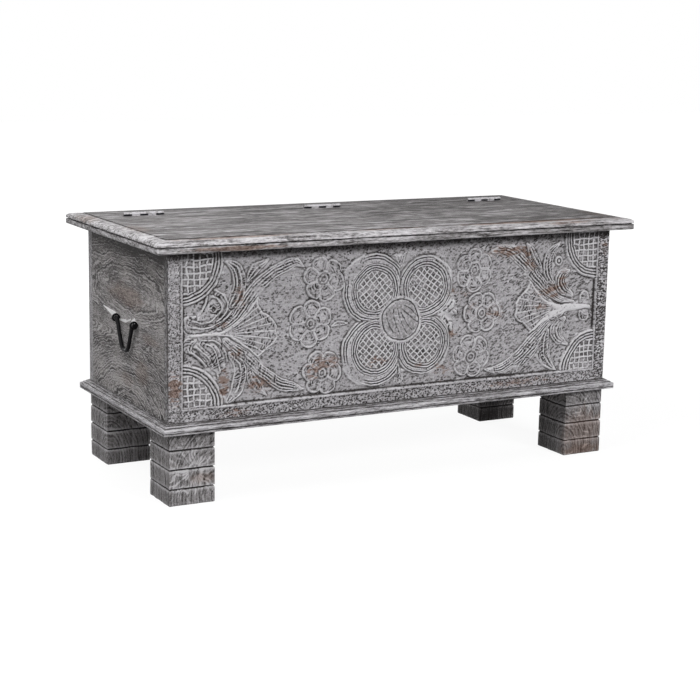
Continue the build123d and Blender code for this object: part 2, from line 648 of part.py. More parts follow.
def batten(x):
    """A bar screwed across the underside of the lid to keep its planks flat."""
    section = RectangleRounded(BATTEN_WIDTH, 2 * BATTEN_THICKNESS, BATTEN_ROUND)
    section &= Pos(0, -BATTEN_THICKNESS / 2) * Rectangle(BATTEN_WIDTH, BATTEN_THICKNESS)
    bar = extrude(Plane.XZ * section, BATTEN_LENGTH / 2, both=True)
    bar = Pos(x, batten_middle(), BOX_TOP) * bar
    return drill(bar, screw(**BATTEN_SCREW, fit=SEAT_CLEARANCE), batten_screw_places())


# ------------------------------------------------------------------ hinges
def hinge_leaf(x, toward):
    """One leaf with its knuckles: the rail's (toward 1) has the odd ones and the lid's (-1) the even ones."""
    inner, outer = sorted((toward * SAW_CUT / 2, toward * (SAW_CUT / 2 + LEAF_THICKNESS)))
    plate = block(
        x - HINGE_LENGTH / 2, x + HINGE_LENGTH / 2, CUT_Y + inner, CUT_Y + outer, LEAF_BASE, TOP_Z
    )
    plate = drill(plate, screw(**HINGE_SCREW, fit=SEAT_CLEARANCE), hinge_screw_places(toward))
    whole = plate
    for i, dx in enumerate(spread(KNUCKLES, KNUCKLE_LENGTH + KNUCKLE_GAP)):
        if (i % 2 == 0) == (toward == 1):
            half = KNUCKLE_LENGTH / 2
            neck = block(x + dx - half, x + dx + half, CUT_Y + inner, CUT_Y + outer, TOP_Z - 1, PIN_Z)
            roll = Pos(x + dx, CUT_Y, PIN_Z) * Rot(0, 90, 0) * Cylinder(KNUCKLE_RADIUS, KNUCKLE_LENGTH)
            whole += [neck, roll]
    hole = Pos(x, CUT_Y, PIN_Z) * Rot(0, 90, 0) * Cylinder(HINGE_PIN_RADIUS + RUNNING_CLEARANCE, 2 * HINGE_LENGTH)
    return whole - hole


def hinge_pin(x):
    """The pin, with a low head at each end of the barrel."""
    turn = Pos(x, CUT_Y, PIN_Z) * Rot(0, 90, 0)
    pin = turn * Cylinder(HINGE_PIN_RADIUS, HINGE_LENGTH + 2 * KNUCKLE_GAP)
    head = (HINGE_LENGTH + HINGE_PIN_HEAD) / 2 + KNUCKLE_GAP
    heads = [
        Pos(x + end * head, CUT_Y, PIN_Z) * Rot(0, 90, 0) * Cylinder(KNUCKLE_RADIUS * 0.75, HINGE_PIN_HEAD)
        for end in (-1, 1)
    ]
    return pin + heads


# ------------------------------------------------------------------ handles
def bail():
    """The left handle's rod, hanging: through one eye, down, round the bottom bend and up to the other."""
    half = BAIL_SPAN / 2
    leg = half - EYE_WIRE - EYE_SIDE_GAP - BAIL_ROD
    foot_half = BAIL_FOOT / 2
    points = [
        (-half - EYE_WIRE - BAIL_TAIL, 0), (-leg, 0), (-foot_half, -BAIL_DROP),
        (foot_half, -BAIL_DROP), (leg, 0), (half + EYE_WIRE + BAIL_TAIL, 0),
    ]
    radii = [BAIL_SHOULDER, BAIL_BEND, BAIL_BEND, BAIL_SHOULDER]
    x = -HALF_W - PIVOT_OFF
    plane = Plane((x, -HANDLE_FORWARD, HANDLE_HEIGHT), x_dir=(0, 1, 0), z_dir=(1, 0, 0))
    path = plane * FilletPolyline(*points, radius=radii)
    rod = sweep(Plane(path @ 0, z_dir=path % 0) * Circle(BAIL_ROD), path)
    tip = half + EYE_WIRE + BAIL_TAIL - BAIL_BUTTON / 2
    button = Rot(90, 0, 0) * Cylinder(BAIL_ROD + BAIL_BUTTON, BAIL_BUTTON)
    return rod + [Pos(x, -HANDLE_FORWARD + end * tip, HANDLE_HEIGHT) * button for end in (-1, 1)]


def eye(y):
    """A left-hand split eye: a ring on a shank through the side board, its tails clenched flat inside."""
    x = -HALF_W - PIVOT_OFF
    inside = -HALF_W + WALL
    ring = Pos(x, y, HANDLE_HEIGHT) * Rot(90, 0, 0) * Torus(EYE_RING, EYE_WIRE)
    start = x + EYE_RING
    shank = Pos((start + inside) / 2, y, HANDLE_HEIGHT) * Rot(0, 90, 0) * Cylinder(EYE_SHANK, inside - start)
    tails = block(
        inside, inside + EYE_TAIL_THICKNESS, y - EYE_SHANK, y + EYE_SHANK,
        HANDLE_HEIGHT - EYE_TAIL, HANDLE_HEIGHT + EYE_TAIL,
    )
    return ring + [shank, tails]


# ------------------------------------------------------------------ the whole chest
def main():
    os.makedirs("parts", exist_ok=True)
    save("front_board", front_board())
    save("back_board", back_board())
    for name, side in (("left", -1), ("right", 1)):
        save(f"side_board_{name}", side_board(side))
    for i, plank in enumerate(bottom_planks(), 1):
        save(f"bottom_plank_{i}", plank)
    for name, strip in moulding().items():
        save(f"base_moulding_{name}", strip)
    for end, sy in (("front", -1), ("rear", 1)):
        for name, sx in (("left", -1), ("right", 1)):
            save(f"foot_{end}_{name}", foot(sx, sy))

    whole = slab()
    save("top_rear_rail", rear_rail(whole))
    for i, plank in enumerate(lid_planks(whole), 1):
        save(f"lid_plank_{i}", plank)
    for name, x in BATTEN_PLACES.items():
        save(f"lid_batten_{name}", batten(x))
    for name, x in HINGE_PLACES.items():
        save(f"hinge_{name}_rail_leaf", hinge_leaf(x, 1))
        save(f"hinge_{name}_lid_leaf", hinge_leaf(x, -1))
        save(f"hinge_{name}_pin", hinge_pin(x))

    handle = {"bail": bail()}
    handle |= {f"eye_{end}": eye(y) for end, y in EYE_PLACES.items()}
    for piece, solid in handle.items():
        save(f"handle_left_{piece}", solid)
        save(f"handle_right_{piece}", mirror(solid, Plane.YZ))

    corner, corner_length = corner_dowel_places()
    rail, rail_length = rail_dowel_places()
    save_group("corner_dowels", [place * dowel(corner_length) for place in corner])
    save_group("rail_dowels", [place * dowel(rail_length) for place in rail])
    save_group("foot_screws", [place * screw(**FOOT_SCREW) for place in foot_screw_places()])
    save_group("rail_hinge_screws", [place * screw(**HINGE_SCREW) for place in hinge_screw_places(1)])
    save_group("lid_hinge_screws", [place * screw(**HINGE_SCREW) for place in hinge_screw_places(-1)])
    save_group("batten_screws", [place * screw(**BATTEN_SCREW) for place in batten_screw_places()])
    save_group("moulding_nails", [place * nail() for place in nail_places()])


if __name__ == "__main__":
    main()
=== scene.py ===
"""The looks of a damchiya chest: limed mango wood, a carved front, forged bails and butt hinges.

The sections follow the chest as it is put together: the carved front, the other boards, the base
moulding and feet, the top and lid, the hinges, the handles, and then the studio it stands in.
"""
from math import cos, hypot, pi, radians, sin

import bpy
import numpy as np
from mathutils import Matrix, Vector


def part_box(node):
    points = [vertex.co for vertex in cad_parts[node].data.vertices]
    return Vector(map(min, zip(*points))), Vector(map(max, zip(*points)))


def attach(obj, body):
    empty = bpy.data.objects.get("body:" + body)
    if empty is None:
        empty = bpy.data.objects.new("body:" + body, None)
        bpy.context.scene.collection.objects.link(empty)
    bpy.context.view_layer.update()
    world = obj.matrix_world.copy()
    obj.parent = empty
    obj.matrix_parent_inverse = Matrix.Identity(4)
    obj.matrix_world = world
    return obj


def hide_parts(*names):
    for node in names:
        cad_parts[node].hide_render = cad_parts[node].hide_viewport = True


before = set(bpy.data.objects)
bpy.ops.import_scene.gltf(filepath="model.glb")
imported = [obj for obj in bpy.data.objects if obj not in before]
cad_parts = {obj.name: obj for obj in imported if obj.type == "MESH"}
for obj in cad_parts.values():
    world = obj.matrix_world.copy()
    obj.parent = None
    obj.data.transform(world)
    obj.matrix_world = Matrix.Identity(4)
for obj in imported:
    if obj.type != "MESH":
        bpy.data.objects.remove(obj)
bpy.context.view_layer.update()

# ---------------------------------------------------------------- front board
# One wide mango board the full width of the chest. Its field is sunk with a gouge and the flowers and
# leaves are left standing flush with the margins, veined with a V-tool; the ground keeps the short
# chisel strokes and the margins are rough from the adze.
MM = 0.001
CELL = 0.9                   # mm between neighbouring points of the carved face
board_low, board_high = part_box("front_board")
board_width = (board_high.x - board_low.x) / MM
board_foot, board_top = board_low.z / MM, board_high.z / MM
chance = np.random.default_rng(1907)

columns = int(round(board_width / CELL)) + 1
rows = int(round((board_top - board_foot) / CELL)) + 1
across = np.linspace(0, board_width, columns)          # mm from the board's left end
height_up = np.linspace(board_foot, board_top, rows)   # mm above the floor
flat_x, flat_z = np.meshgrid(across, height_up, indexing="ij")
shape = flat_x.shape


def cloud(shape, coarse, seed):
    """Smooth noise of about unit height over a grid; coarse is the size of its lumps, in cells, each way."""
    source = np.random.default_rng(seed)
    counts = [int(n / c) + 3 for n, c in zip(shape, coarse)]
    lumps = source.normal(size=counts)
    for axis, (n, c) in enumerate(zip(shape, coarse)):
        spots = np.arange(n) / c
        whole = spots.astype(int)
        t = spots - whole
        t = (t * t * (3 - 2 * t)).reshape([-1 if i == axis else 1 for i in range(2)])
        lumps = np.take(lumps, whole, axis) * (1 - t) + np.take(lumps, whole + 1, axis) * t
    return lumps


def soften(field, cells):
    """A field blurred by three running means of about that many cells."""
    for axis in (0, 1):
        for _ in range(3):
            pad = [(cells + 1, cells) if i == axis else (0, 0) for i in range(2)]
            run = np.cumsum(np.pad(field, pad, mode="edge"), axis=axis)
            n = field.shape[axis]
            upper = np.take(run, np.arange(2 * cells + 1, 2 * cells + 1 + n), axis)
            field = (upper - np.take(run, np.arange(n), axis)) / (2 * cells + 1)
    return field


def ease(value):
    """0 below 0, 1 above 1 and a soft step between."""
    t = np.clip(value, 0, 1)
    return t * t * (3 - 2 * t)


def rib(off, half_width):
    """A rounded rib: 1 on its line, 0 at about twice half_width."""
    return np.exp(-((off / half_width) ** 2))


def blotchy(base, depth, lump, seed):
    """Noise over the face from 0 to 1, about a base level; lump is in cells."""
    return np.clip(base + depth * cloud(shape, (lump, lump), seed), 0, 1)


def every(run, pitch):
    """How far each value lies from the middle of its own stretch of that pitch."""
    return (run / pitch % 1 - 0.5) * pitch


def ribs_at(off, places, half_width):
    """Ribs where off is one of the places."""
    return np.maximum.reduce([0 * off, *[rib(off - place, half_width) for place in places]])


# the carver's hand: every line wanders by a millimetre or so
hand_x = flat_x + 1.0 * cloud(shape, (28, 28), 3) + 0.35 * cloud(shape, (8, 8), 13)
hand_z = flat_z + 1.0 * cloud(shape, (28, 28), 4) + 0.35 * cloud(shape, (8, 8), 14)
clean = 0.64 + 0.42 * cloud(shape, (9, 9), 15) + 0.12 * cloud(shape, (26, 26), 16)
uneven = np.clip(clean, 0, 1)        # how well each rib came out of the wood

CARVED_DEPTH = 4.5           # ground of the field below the face of the board
GROUND_LOW = -0.6            # the deepest tool marks in the ground
LEAF_HEIGHT = 2.9            # leaves and rings above the ground
RIB_HEIGHT = 2.0             # and the ribs along them
WALL = 2.0                   # how far a carved edge leans out to the ground
FIELD_LEFT, FIELD_RIGHT = 24.0, board_width - 25.0
FIELD_FOOT, FIELD_TOP = board_foot + 38.0, board_top + 9.0
relief = np.zeros(shape)     # mm above the ground of the field
nicks = np.zeros(shape)      # cuts of the gouge and the V-tool, 0 to 1
washed = np.zeros(shape)     # where the lime was left thick
rosetted = np.zeros(shape)   # the rosettes, worn duller than the rest
latticed = np.zeros(shape)   # where the thin crossed bars are


def stand(near, body, surface, nick, where=True):
    """Leaves a motif standing in the ground: its mask, height and cuts, and the cells it may fill."""
    relief[near] = np.where(where, np.maximum(relief[near], body * surface), relief[near])
    nicks[near] = np.where(where, np.maximum(nicks[near] * (1 - body), nick), nicks[near])


def window(x0, x1, z0, z1):
    """The part of the grid within those limits."""
    i = np.searchsorted(across, (x0, x1))
    k = np.searchsorted(height_up, (z0, z1))
    return slice(*i), slice(*k)


def smooth_line(points, per_span=7):
    """A smooth curve through the points; every column is carried along, so a width may be the third."""
    p = np.array(points, float)
    p = np.vstack([2 * p[0] - p[1], p, 2 * p[-1] - p[-2]])
    t = np.linspace(0, 1, per_span, endpoint=False)[:, None]
    spans = [
        b + t / 2 * (c - a + t * (2 * a - 5 * b + 4 * c - d + t * (3 * (b - c) + d - a)))
        for a, b, c, d in zip(p, p[1:], p[2:], p[3:])
    ]
    return np.vstack([*spans, p[-2:-1]])


def beside(points, reach=4.0):
    """Where cells near a curve lie: (window, distance, side, half width there, share of the way along)."""
    line = smooth_line(points)
    wide = line[:, 2].max() if line.shape[1] > 2 else 0.0
    lo, hi = line.min(0)[:2] - wide - reach, line.max(0)[:2] + wide + reach
    near = window(lo[0], hi[0], lo[1], hi[1])
    x, z = hand_x[near], hand_z[near]
    best, side, half, share = np.full(x.shape, 1e9), np.zeros(x.shape), np.zeros(x.shape), np.zeros(x.shape)
    for i, (a, b) in enumerate(zip(line, line[1:])):
        run = b[:2] - a[:2]
        t = np.clip(((x - a[0]) * run[0] + (z - a[1]) * run[1]) / max(run @ run, 1e-9), 0, 1)
        ex, ez = x - a[0] - t * run[0], z - a[1] - t * run[1]
        off = np.hypot(ex, ez)
        closer = off < best
        best = np.where(closer, off, best)
        side = np.where(closer, np.sign(run[0] * ez - run[1] * ex), side)
        share = np.where(closer, (i + t) / (len(line) - 1), share)
        if wide:
            half = np.where(closer, a[2] + (b[2] - a[2]) * t, half)
    return near, best, side, half, share


def leaf(points, ribs=(-0.92, -0.3, 0.3, 0.92), height=LEAF_HEIGHT, hatch=6.0, cut=0.9, limed=0.0):
    """A veined leaf about a curve of (x, z, half width); ribs are shares of the half width, left positive.
    hatch is the spacing of the nicks across it, cut how strong they are, limed how much lime lies on it."""
    near, off, side, half, share = beside(points)
    body = ease((half - off) / WALL + 0.5)
    within = off / np.maximum(half, 0.5)
    lift = ribs_at(side * off, [r * half for r in ribs], 1.0 + 0.03 * half) * (ease(half / 3) * uneven[near])
    surface = height * (1 - 0.22 * np.clip(within, 0, 1) ** 2) + RIB_HEIGHT * (lift - 0.4)
    length = np.hypot(*np.diff(np.array(points, float)[:, :2], axis=0).T).sum()
    rung = share * length + 0.5 * side * off + 2.5 * cloud(shape, (7, 7), 21)[near]
    nick = rib(every(rung, hatch), 1.25) * (1 - lift) * ease((half - off - 0.5) / 1.5)
    stand(near, body, surface, cut * (nick * blotchy(0.5, 0.8, 11, 22)[near]))
    washed[near] = np.maximum(washed[near] * (1 - body), limed * body)


def groove(points, width=1.3, depth=2.2):
    """A V-tool cut along a curve."""
    near, off, *_ = beside(points)
    relief[near] -= depth * rib(off, width)


def ridge(points, width=1.2, height=4.0):
    """A narrow rib left standing along a curve."""
    near, off, *_ = beside(points)
    relief[near] = np.maximum(relief[near], height * rib(off, width * 1.25))


def polar(x0, z0, radius):
    """(window, distance, angle in degrees) about a point."""
    near = window(x0 - radius, x0 + radius, z0 - radius, z0 + radius)
    dx, dz = hand_x[near] - x0, hand_z[near] - z0
    return near, np.hypot(dx, dz), np.degrees(np.arctan2(dz, dx))


def lattice(near, x0, z0, turn, pitch, height, bar, sunk):
    """Crossed bars with square pits between them, no two alike."""
    c, s = cos(radians(turn)), sin(radians(turn))
    dx = hand_x[near] - x0 + 0.7 * cloud(shape, (11, 11), 31)[near]
    dz = hand_z[near] - z0 + 0.7 * cloud(shape, (11, 11), 32)[near]
    bars = 0
    for along in (c * dx + s * dz, c * dz - s * dx):
        bars = np.maximum(bars, ease((bar - np.abs(every(along, pitch))) / 1.4 + 0.5))
    depth = 1 - 0.35 * np.clip(cloud(shape, (10, 10), 33)[near], -1, 1)
    return height - sunk * depth * (1 - bars), 1 - bars


# the quatrefoil: four latticed petals in ribbed rings about a flat boss
HEART = (438.5, 288.0)
PETALS = ((388, 342), (489, 343), (390, 238), (487, 240))
PETAL_LATTICE = 35.0
PETAL_RIBS = (37.4, 42.0, 46.6)
LOBE_RIBS = (56.6, 61.4)
LOBE_EDGE = 63.5
LOBE_SHIFT = 4.0             # the left lobes are struck from a little further out
RIGHT_SQUEEZE = 1.15         # and the right ones are that much narrower
PLAIN_FROM, PLAIN_TO = 47.5, 54.5        # a band left smooth between the two sets of ribs
LATTICE_TURNS = (42, 52, 47, 44)         # degrees
PETAL_PITCH = 8.9
BOSS = (440.0, 287.0)
BOSS_RADIUS, BOSS_RING = 36.5, 43.5


def petal(x0, z0, turn):
    """One petal, cut off at the flower's own upright and level middle lines."""
    out_x, out_z = np.sign(x0 - HEART[0]), np.sign(z0 - HEART[1])
    near, off, _ = polar(x0, z0, LOBE_EDGE + 14)
    shift = LOBE_SHIFT / 2 ** 0.5 * (out_x < 0)
    away_x, away_z = (hand_x[near] - x0) * out_x - shift, (hand_z[near] - z0) * out_z - shift
    outer = np.hypot(away_x, away_z) * (RIGHT_SQUEEZE if out_x > 0 else 1)
    bow = np.abs(np.degrees(np.arctan2(away_z, away_x)) - 45)    # degrees off the petal's own diagonal
    flank = ease((bow - 12) / 30)        # the outer ribs fade out on the diagonal
    mine = ((hand_x[near] - HEART[0]) * out_x > 0) & ((hand_z[near] - HEART[1]) * out_z > 0)
    plain = ease((off - PLAIN_FROM) / 2) * ease((PLAIN_TO - outer) / 2)
    ribs = ribs_at(off, PETAL_RIBS, 1.35) * (0.5 + 0.5 * uneven[near])
    ribs = np.maximum.reduce([ribs, ribs_at(outer, LOBE_RIBS, 1.4) * flank, 0.75 * plain])
    fallen = 0.9 * ease((off - 48) / 12) * (1 - flank)
    dish = LEAF_HEIGHT - fallen + 1.15 * RIB_HEIGHT * (ribs - 0.6) * np.maximum(ease((54 - off) / 3), flank)
    cells, pits = lattice(near, x0, z0, turn, PETAL_PITCH, LEAF_HEIGHT + 0.3, bar=1.0, sunk=0.9)
    edge = ease((off - PETAL_LATTICE) / 1.5 + 0.5)
    cells += (dish - cells) * edge
    body = ease((LOBE_EDGE - outer) / (2.0 + 7 * (1 - flank)) + 0.5)
    stand(near, body, cells, 0.30 * pits * (1 - edge) * uneven[near], mine)
    latticed[near] = np.where(mine, np.maximum(latticed[near], 1 - edge), latticed[near])


for middle, lattice_turn in zip(PETALS, LATTICE_TURNS):
    petal(*middle, lattice_turn)
VALLEYS = (                  # cuts between the petals, running outward
    ((362, 288), (322, 289)), ((439, 350), (438, 404)), ((438, 232), (438, 176)), ((516, 290), (530, 291)),
)
for valley in VALLEYS:
    groove(valley, 1.7, 2.6)
near, off, _ = polar(*BOSS, BOSS_RING + 6)
boss = LEAF_HEIGHT + 0.5 - 0.4 * (off / BOSS_RADIUS) ** 4
boss = np.where(off < BOSS_RADIUS, boss, LEAF_HEIGHT + 0.1 - 0.5 * ease((off - BOSS_RADIUS - 3) / 5))
boss -= 1.5 * rib(off - BOSS_RADIUS, 1.1)
on_boss = ease((BOSS_RING + 1 - off) / 3)
relief[near] += (boss - relief[near]) * on_boss
scored = 0.24 * (off < BOSS_RADIUS - 1) * blotchy(0.6, 1, 4, 28)[near]
nicks[near] = np.maximum(nicks[near] * (1 - on_boss), scored)
BOSS_VEINS = (
    ((442, 306), (460, 292), (476, 280)), ((424, 306), (426, 288), (438, 262)),
    ((412, 300), (414, 284), (424, 264)), ((432, 308), (440, 284), (452, 264)),
    ((440, 300), (452, 282), (462, 268)), ((448, 312), (464, 302), (474, 294)),
)
for vein in BOSS_VEINS:
    groove(vein, 0.9, 0.7)
BUDS = (                     # small leaves in the valleys: (x, z, half width)
    ((303, 285, 1), (312, 289, 4), (322, 290, 4), (334, 289, 1)),
    ((424, 404, 1), (430, 404, 3), (435, 396, 4), (438, 380, 1)),
    ((450, 406, 1), (445, 400, 3), (441, 390, 3), (439, 380, 1)),
    ((438, 171, 0), (437, 178, 5), (438, 192, 5), (438, 210, 1)),
    ((428, 174, 0), (433, 184, 3), (437, 196, 1)), ((449, 176, 0), (443, 186, 3), (439, 197, 1)),
)
for bud in BUDS:
    leaf(bud, ribs=(-0.8, 0.8), height=LEAF_HEIGHT - 0.4)

# six-petalled rosettes, three each side: (x, z, turn of the first petal, size)
ROSETTES = (
    (286, 368, 45, 1.0), (262, 292, 25, 1.05), (285, 205, -5, 1.0),
    (591, 366, 30, 1.0), (609, 288, 0, 1.0), (588, 209, -15, 1.0),
)
ROSETTE_RADIUS = 39.5
ROSETTE_EYE = 8.6            # radius
ROSETTE_RIM = 1.5            # the crest of a petal's rim, in from its edge
HOLLOW = 1.7                 # depth of a petal's dish


def rosette(x0, z0, turn, size):
    """Six dished petals, nearly parted at the rim, thin ribs between them, and a ringed eye."""
    near, off, angle = polar(x0, z0, ROSETTE_RADIUS * size + 8)
    off = off / size
    lobe = (angle - turn + 30) % 60 - 30               # degrees off the nearest petal's middle
    each = np.random.default_rng(int(x0)).uniform(-1, 1, 6)[((angle - turn + 30) // 60).astype(int) % 6]
    edge = (ROSETTE_RADIUS + 0.9 * each) * (0.70 + 0.30 * np.sqrt(np.clip(1 - (lobe / 31) ** 2, 0, 1)))
    body = ease((edge - off) / WALL + 0.5)
    depth_in = edge - off                               # mm in from the rim
    between = off * np.radians(30 - np.abs(lobe))       # mm from the line between two petals
    inside = np.minimum(depth_in, 0.8 * between)
    hollow = LEAF_HEIGHT - 0.1 - HOLLOW * ease((inside - ROSETTE_RIM) / 5) * ease((off - 11) / 5)
    hollow += 0.7 * ease((inside - 7) / 4) * ease((32 - off) / 8)       # a low swelling in the middle of it
    hollow += 0.25 * rib(inside - ROSETTE_RIM, 1.0) * uneven[near]
    hollow -= 0.8 * rib(between - 2.9, 1.0) * ease((off - 13) / 4)
    hollow = np.maximum(hollow, (LEAF_HEIGHT + 0.2) * rib(between, 1.5) * ease((edge - off + 2) / 2))
    rosetted[near] = np.maximum(rosetted[near], body)
    eye = (LEAF_HEIGHT + 0.4) * np.maximum(rib(off - ROSETTE_EYE + 2.2, 2.2), 0.9 * rib(off, 2.4))
    petals = hollow - 1.0 * rib(off - ROSETTE_EYE - 1.4, 1.2)
    whole = np.where(off < ROSETTE_EYE, np.maximum(eye, 2.0), petals)
    arcs = rib(every(depth_in, 6.0), 1.3) * blotchy(0.1, 0.9, 7, 23)[near]
    arcs *= ease((inside - 2.0) / 1.5) * ease((off - ROSETTE_EYE - 3) / 2)
    stand(near, body, whole, 0.85 * arcs * body)


for spot in ROSETTES:
    rosette(*spot)

# quarter rounds in the corners of the field, latticed inside three ribs
CORNERS = ((24, 413), (24, 165), (861, 412), (861, 165))
CORNER_LATTICE = 57.0
CORNER_RIBS = (61.0, 66.5, 72.0)
CORNER_EDGE = 75.0
CORNER_PITCH = 10.8


def corner_round(x0, z0):
    """One quarter round; the margin cuts off the rest of its circle."""
    near, off, _ = polar(x0, z0, CORNER_EDGE + 4)
    ribs = ribs_at(off, CORNER_RIBS, 1.5) * (0.5 + 0.5 * uneven[near])
    ribbed = LEAF_HEIGHT + (RIB_HEIGHT + 0.2) * (ribs - 0.5)
    cells, pits = lattice(near, x0 + 6, z0 + 6, 0, CORNER_PITCH, LEAF_HEIGHT + 0.3, bar=1.4, sunk=1.0)
    edge = ease((off - CORNER_LATTICE) / 1.6 + 0.5)
    cells += (ribbed - cells) * edge
    body = ease((CORNER_EDGE - off) / WALL + 0.5)
    stand(near, body, cells, 0.2 * pits * (1 - edge) * uneven[near])
    latticed[near] = np.maximum(latticed[near], 1 - edge)


for corner in CORNERS:
    corner_round(*corner)

# the leaf sprays, first the left-hand one, then the right-hand one
LONG = (-0.9, -0.45, 0.1, 0.55, 0.92)    # ribs of a long leaf
SIMPLE = (-0.88, 0.0, 0.88)              # and of a short one
SPRAY_LEAVES = (             # curve of (x, z, half width), ribs, spacing of the nicks
    (((70, 294, 22), (76, 309, 23), (86, 327, 19), (90, 344, 13), (87, 362, 0)), (), 6),
    (((45, 291, 4), (37, 298, 8), (34, 307, 9), (38, 315, 7), (48, 319, 2)), (-0.9, -0.2), 6),
    (((90, 297, 5), (106, 303, 8), (121, 315, 10), (136, 333, 10.5), (152, 353, 11.5), (170, 371, 11.5),
      (192, 386, 11), (214, 395, 10.5), (233, 399, 7), (248, 391, 1)), LONG, 6),
    (((143, 374, 3), (151, 385, 7), (162, 397, 7.5), (180, 407, 1.5)), SIMPLE, 5),
    (((99, 409, 1), (112, 403, 6), (123, 393, 10), (128, 377, 11.5), (128, 361, 12), (123, 346, 12),
      (113, 333, 9)), (-0.92, -0.45, 0.25, 0.92), 5),
    (((74, 272, 20), (80, 259, 21), (86, 243, 17), (90, 229, 9), (90, 213, 0)), (), 6),
    (((45, 281, 4), (37, 276, 7), (34, 268, 8), (37, 260, 6), (46, 256, 1)), (0.9, 0.2), 6),
    (((104, 273, 6), (124, 258, 9), (145, 240, 10), (165, 223, 10.5), (186, 206, 11), (207, 192, 11),
      (229, 183, 9), (250, 180, 1)), LONG, 6),
    (((145, 228, 3), (151, 208, 8), (163, 191, 8), (181, 175, 1)), SIMPLE, 5),
    (((112, 250, 5), (124, 236, 9.5), (129, 219, 11.5), (128, 202, 12), (123, 187, 11), (108, 171, 4)),
     (-0.92, 0.1, 0.92), 6),
    (((631, 398, 4), (654, 399, 8.5), (675, 391, 10), (695, 377, 10.5), (712, 360, 11.5), (727, 343, 11.5),
      (743, 327, 10.5), (761, 314, 9), (782, 302, 6), (812, 296, 1)), LONG, 6),
    (((702, 407, 2), (713, 392, 7), (724, 375, 7.5), (738, 355, 3)), SIMPLE, 5),
    (((776, 408, 1), (761, 396, 7), (753, 380, 9.5), (751, 362, 10), (754, 347, 9), (763, 334, 4)),
     (-0.92, -0.3, 0.35, 0.92), 6),
    (((798, 354, 3), (785, 350, 9), (779, 335, 12), (787, 320, 11), (806, 308, 4)), LONG, 5),
    (((621, 181, 1), (645, 180, 7), (668, 186, 9), (690, 199, 10.5), (710, 216, 11), (729, 234, 10.5),
      (747, 250, 9), (767, 266, 7), (787, 278, 3)), LONG, 6),
    (((691, 170, 1), (702, 185, 6), (716, 200, 7), (731, 215, 4)), SIMPLE, 5),
    (((754, 243, 6), (748, 225, 12), (747, 206, 15), (753, 189, 13), (764, 177, 8), (779, 167, 1)),
     (-0.95, -0.75, 0.0, 0.6, 0.95), 6),
    (((790, 264, 5), (778, 253, 11), (774, 240, 13), (781, 227, 10), (801, 216, 3)), LONG, 5),
    (((846, 300, 2), (838, 306, 8), (832, 303, 7), (829, 294, 3)), (-0.8,), 6),
    (((846, 270, 2), (838, 264, 8), (832, 267, 7), (829, 275, 3)), (0.8,), 6),
)
for points, ribs, hatch in SPRAY_LEAVES:
    leaf(points, ribs, hatch=hatch)
# the inner leaves of the left-hand spray are cut freehand: light lines first, then the hollows
FREEHAND_LINES = (
    ((84, 361), (94, 354), (102, 345), (106, 335), (103, 325), (95, 315), (87, 308)),
    ((80, 350), (88, 345), (94, 336), (93, 326), (85, 317)), ((44, 311), (58, 307), (73, 307), (84, 315)),
    ((38, 303), (58, 297), (77, 299), (90, 306), (104, 314), (114, 326)), ((70, 352), (66, 338), (60, 326)),
    ((58, 279), (81, 276), (94, 267), (102, 255), (105, 241)),
    ((60, 275), (76, 267), (85, 254), (89, 238), (92, 222)),
    ((48, 269), (63, 257), (75, 244), (81, 230)), ((45, 257), (56, 248), (68, 234)),
)
FREEHAND_HOLLOWS = (         # line, width, depth
    (((41, 290), (63, 290.5), (77, 293), (88, 298), (103, 308), (113, 317)), 1.7, 2.4),
    (((26, 318), (26, 308), (31, 297), (40, 289)), 1.5, 2.6), (((30, 320), (42, 321), (56, 320)), 1.2, 1.6),
    (((33, 313), (37, 305), (46, 301)), 1.1, 1.2), (((77, 335), (82, 331), (81, 325)), 3.0, 2.0),
    (((87, 350), (97, 341), (100, 330), (92, 316)), 1.5, 1.9), (((66, 319), (74, 317)), 1.6, 1.6),
    (((50, 303), (64, 302), (80, 305)), 1.2, 1.3),
    (((98, 406), (106, 398), (112, 386), (113, 370)), 1.3, 1.8),
    (((27, 278), (26, 267), (32, 258), (43, 255)), 1.5, 2.6),
    (((64, 276), (82, 272), (92, 262), (97, 248)), 1.9, 2.2),
    (((56, 272), (68, 262), (78, 250), (84, 234)), 1.6, 1.9),
    (((45, 266), (55, 257), (66, 246), (73, 232)), 1.4, 1.6),
    (((84, 222), (92, 217), (96, 224)), 1.6, 1.8), (((100, 216), (103, 204), (100, 192)), 3.4, 1.6),
)
for line in FREEHAND_LINES:
    ridge(line, 1.5, LEAF_HEIGHT + 0.9)
for line, width, depth in FREEHAND_HOLLOWS:
    groove(line, width, depth)
BERRY, BERRY_RADIUS = (775, 374), 8.5
near, off, _ = polar(*BERRY, BERRY_RADIUS + 3.5)
berry = LEAF_HEIGHT * ease((BERRY_RADIUS - off) / WALL + 0.5) - 1.6 * rib(off - 4, 1.4)
relief[near] = np.maximum(relief[near], berry)

# fans between the long leaves: apex, then the scalloped rim from top to bottom
FANS = (
    ((103, 286), ((161, 343), (164, 330), (171, 318), (183, 312), (192, 303), (199, 293), (197, 285),
                  (201, 275), (193, 263), (183, 257), (173, 248), (163, 243))),
    ((776, 288), ((712, 340), (707, 326), (699, 318), (687, 309), (681, 299), (683, 289), (681, 279),
                  (689, 268), (700, 262), (708, 253), (718, 243))),
)
FAN_RIBS = 9


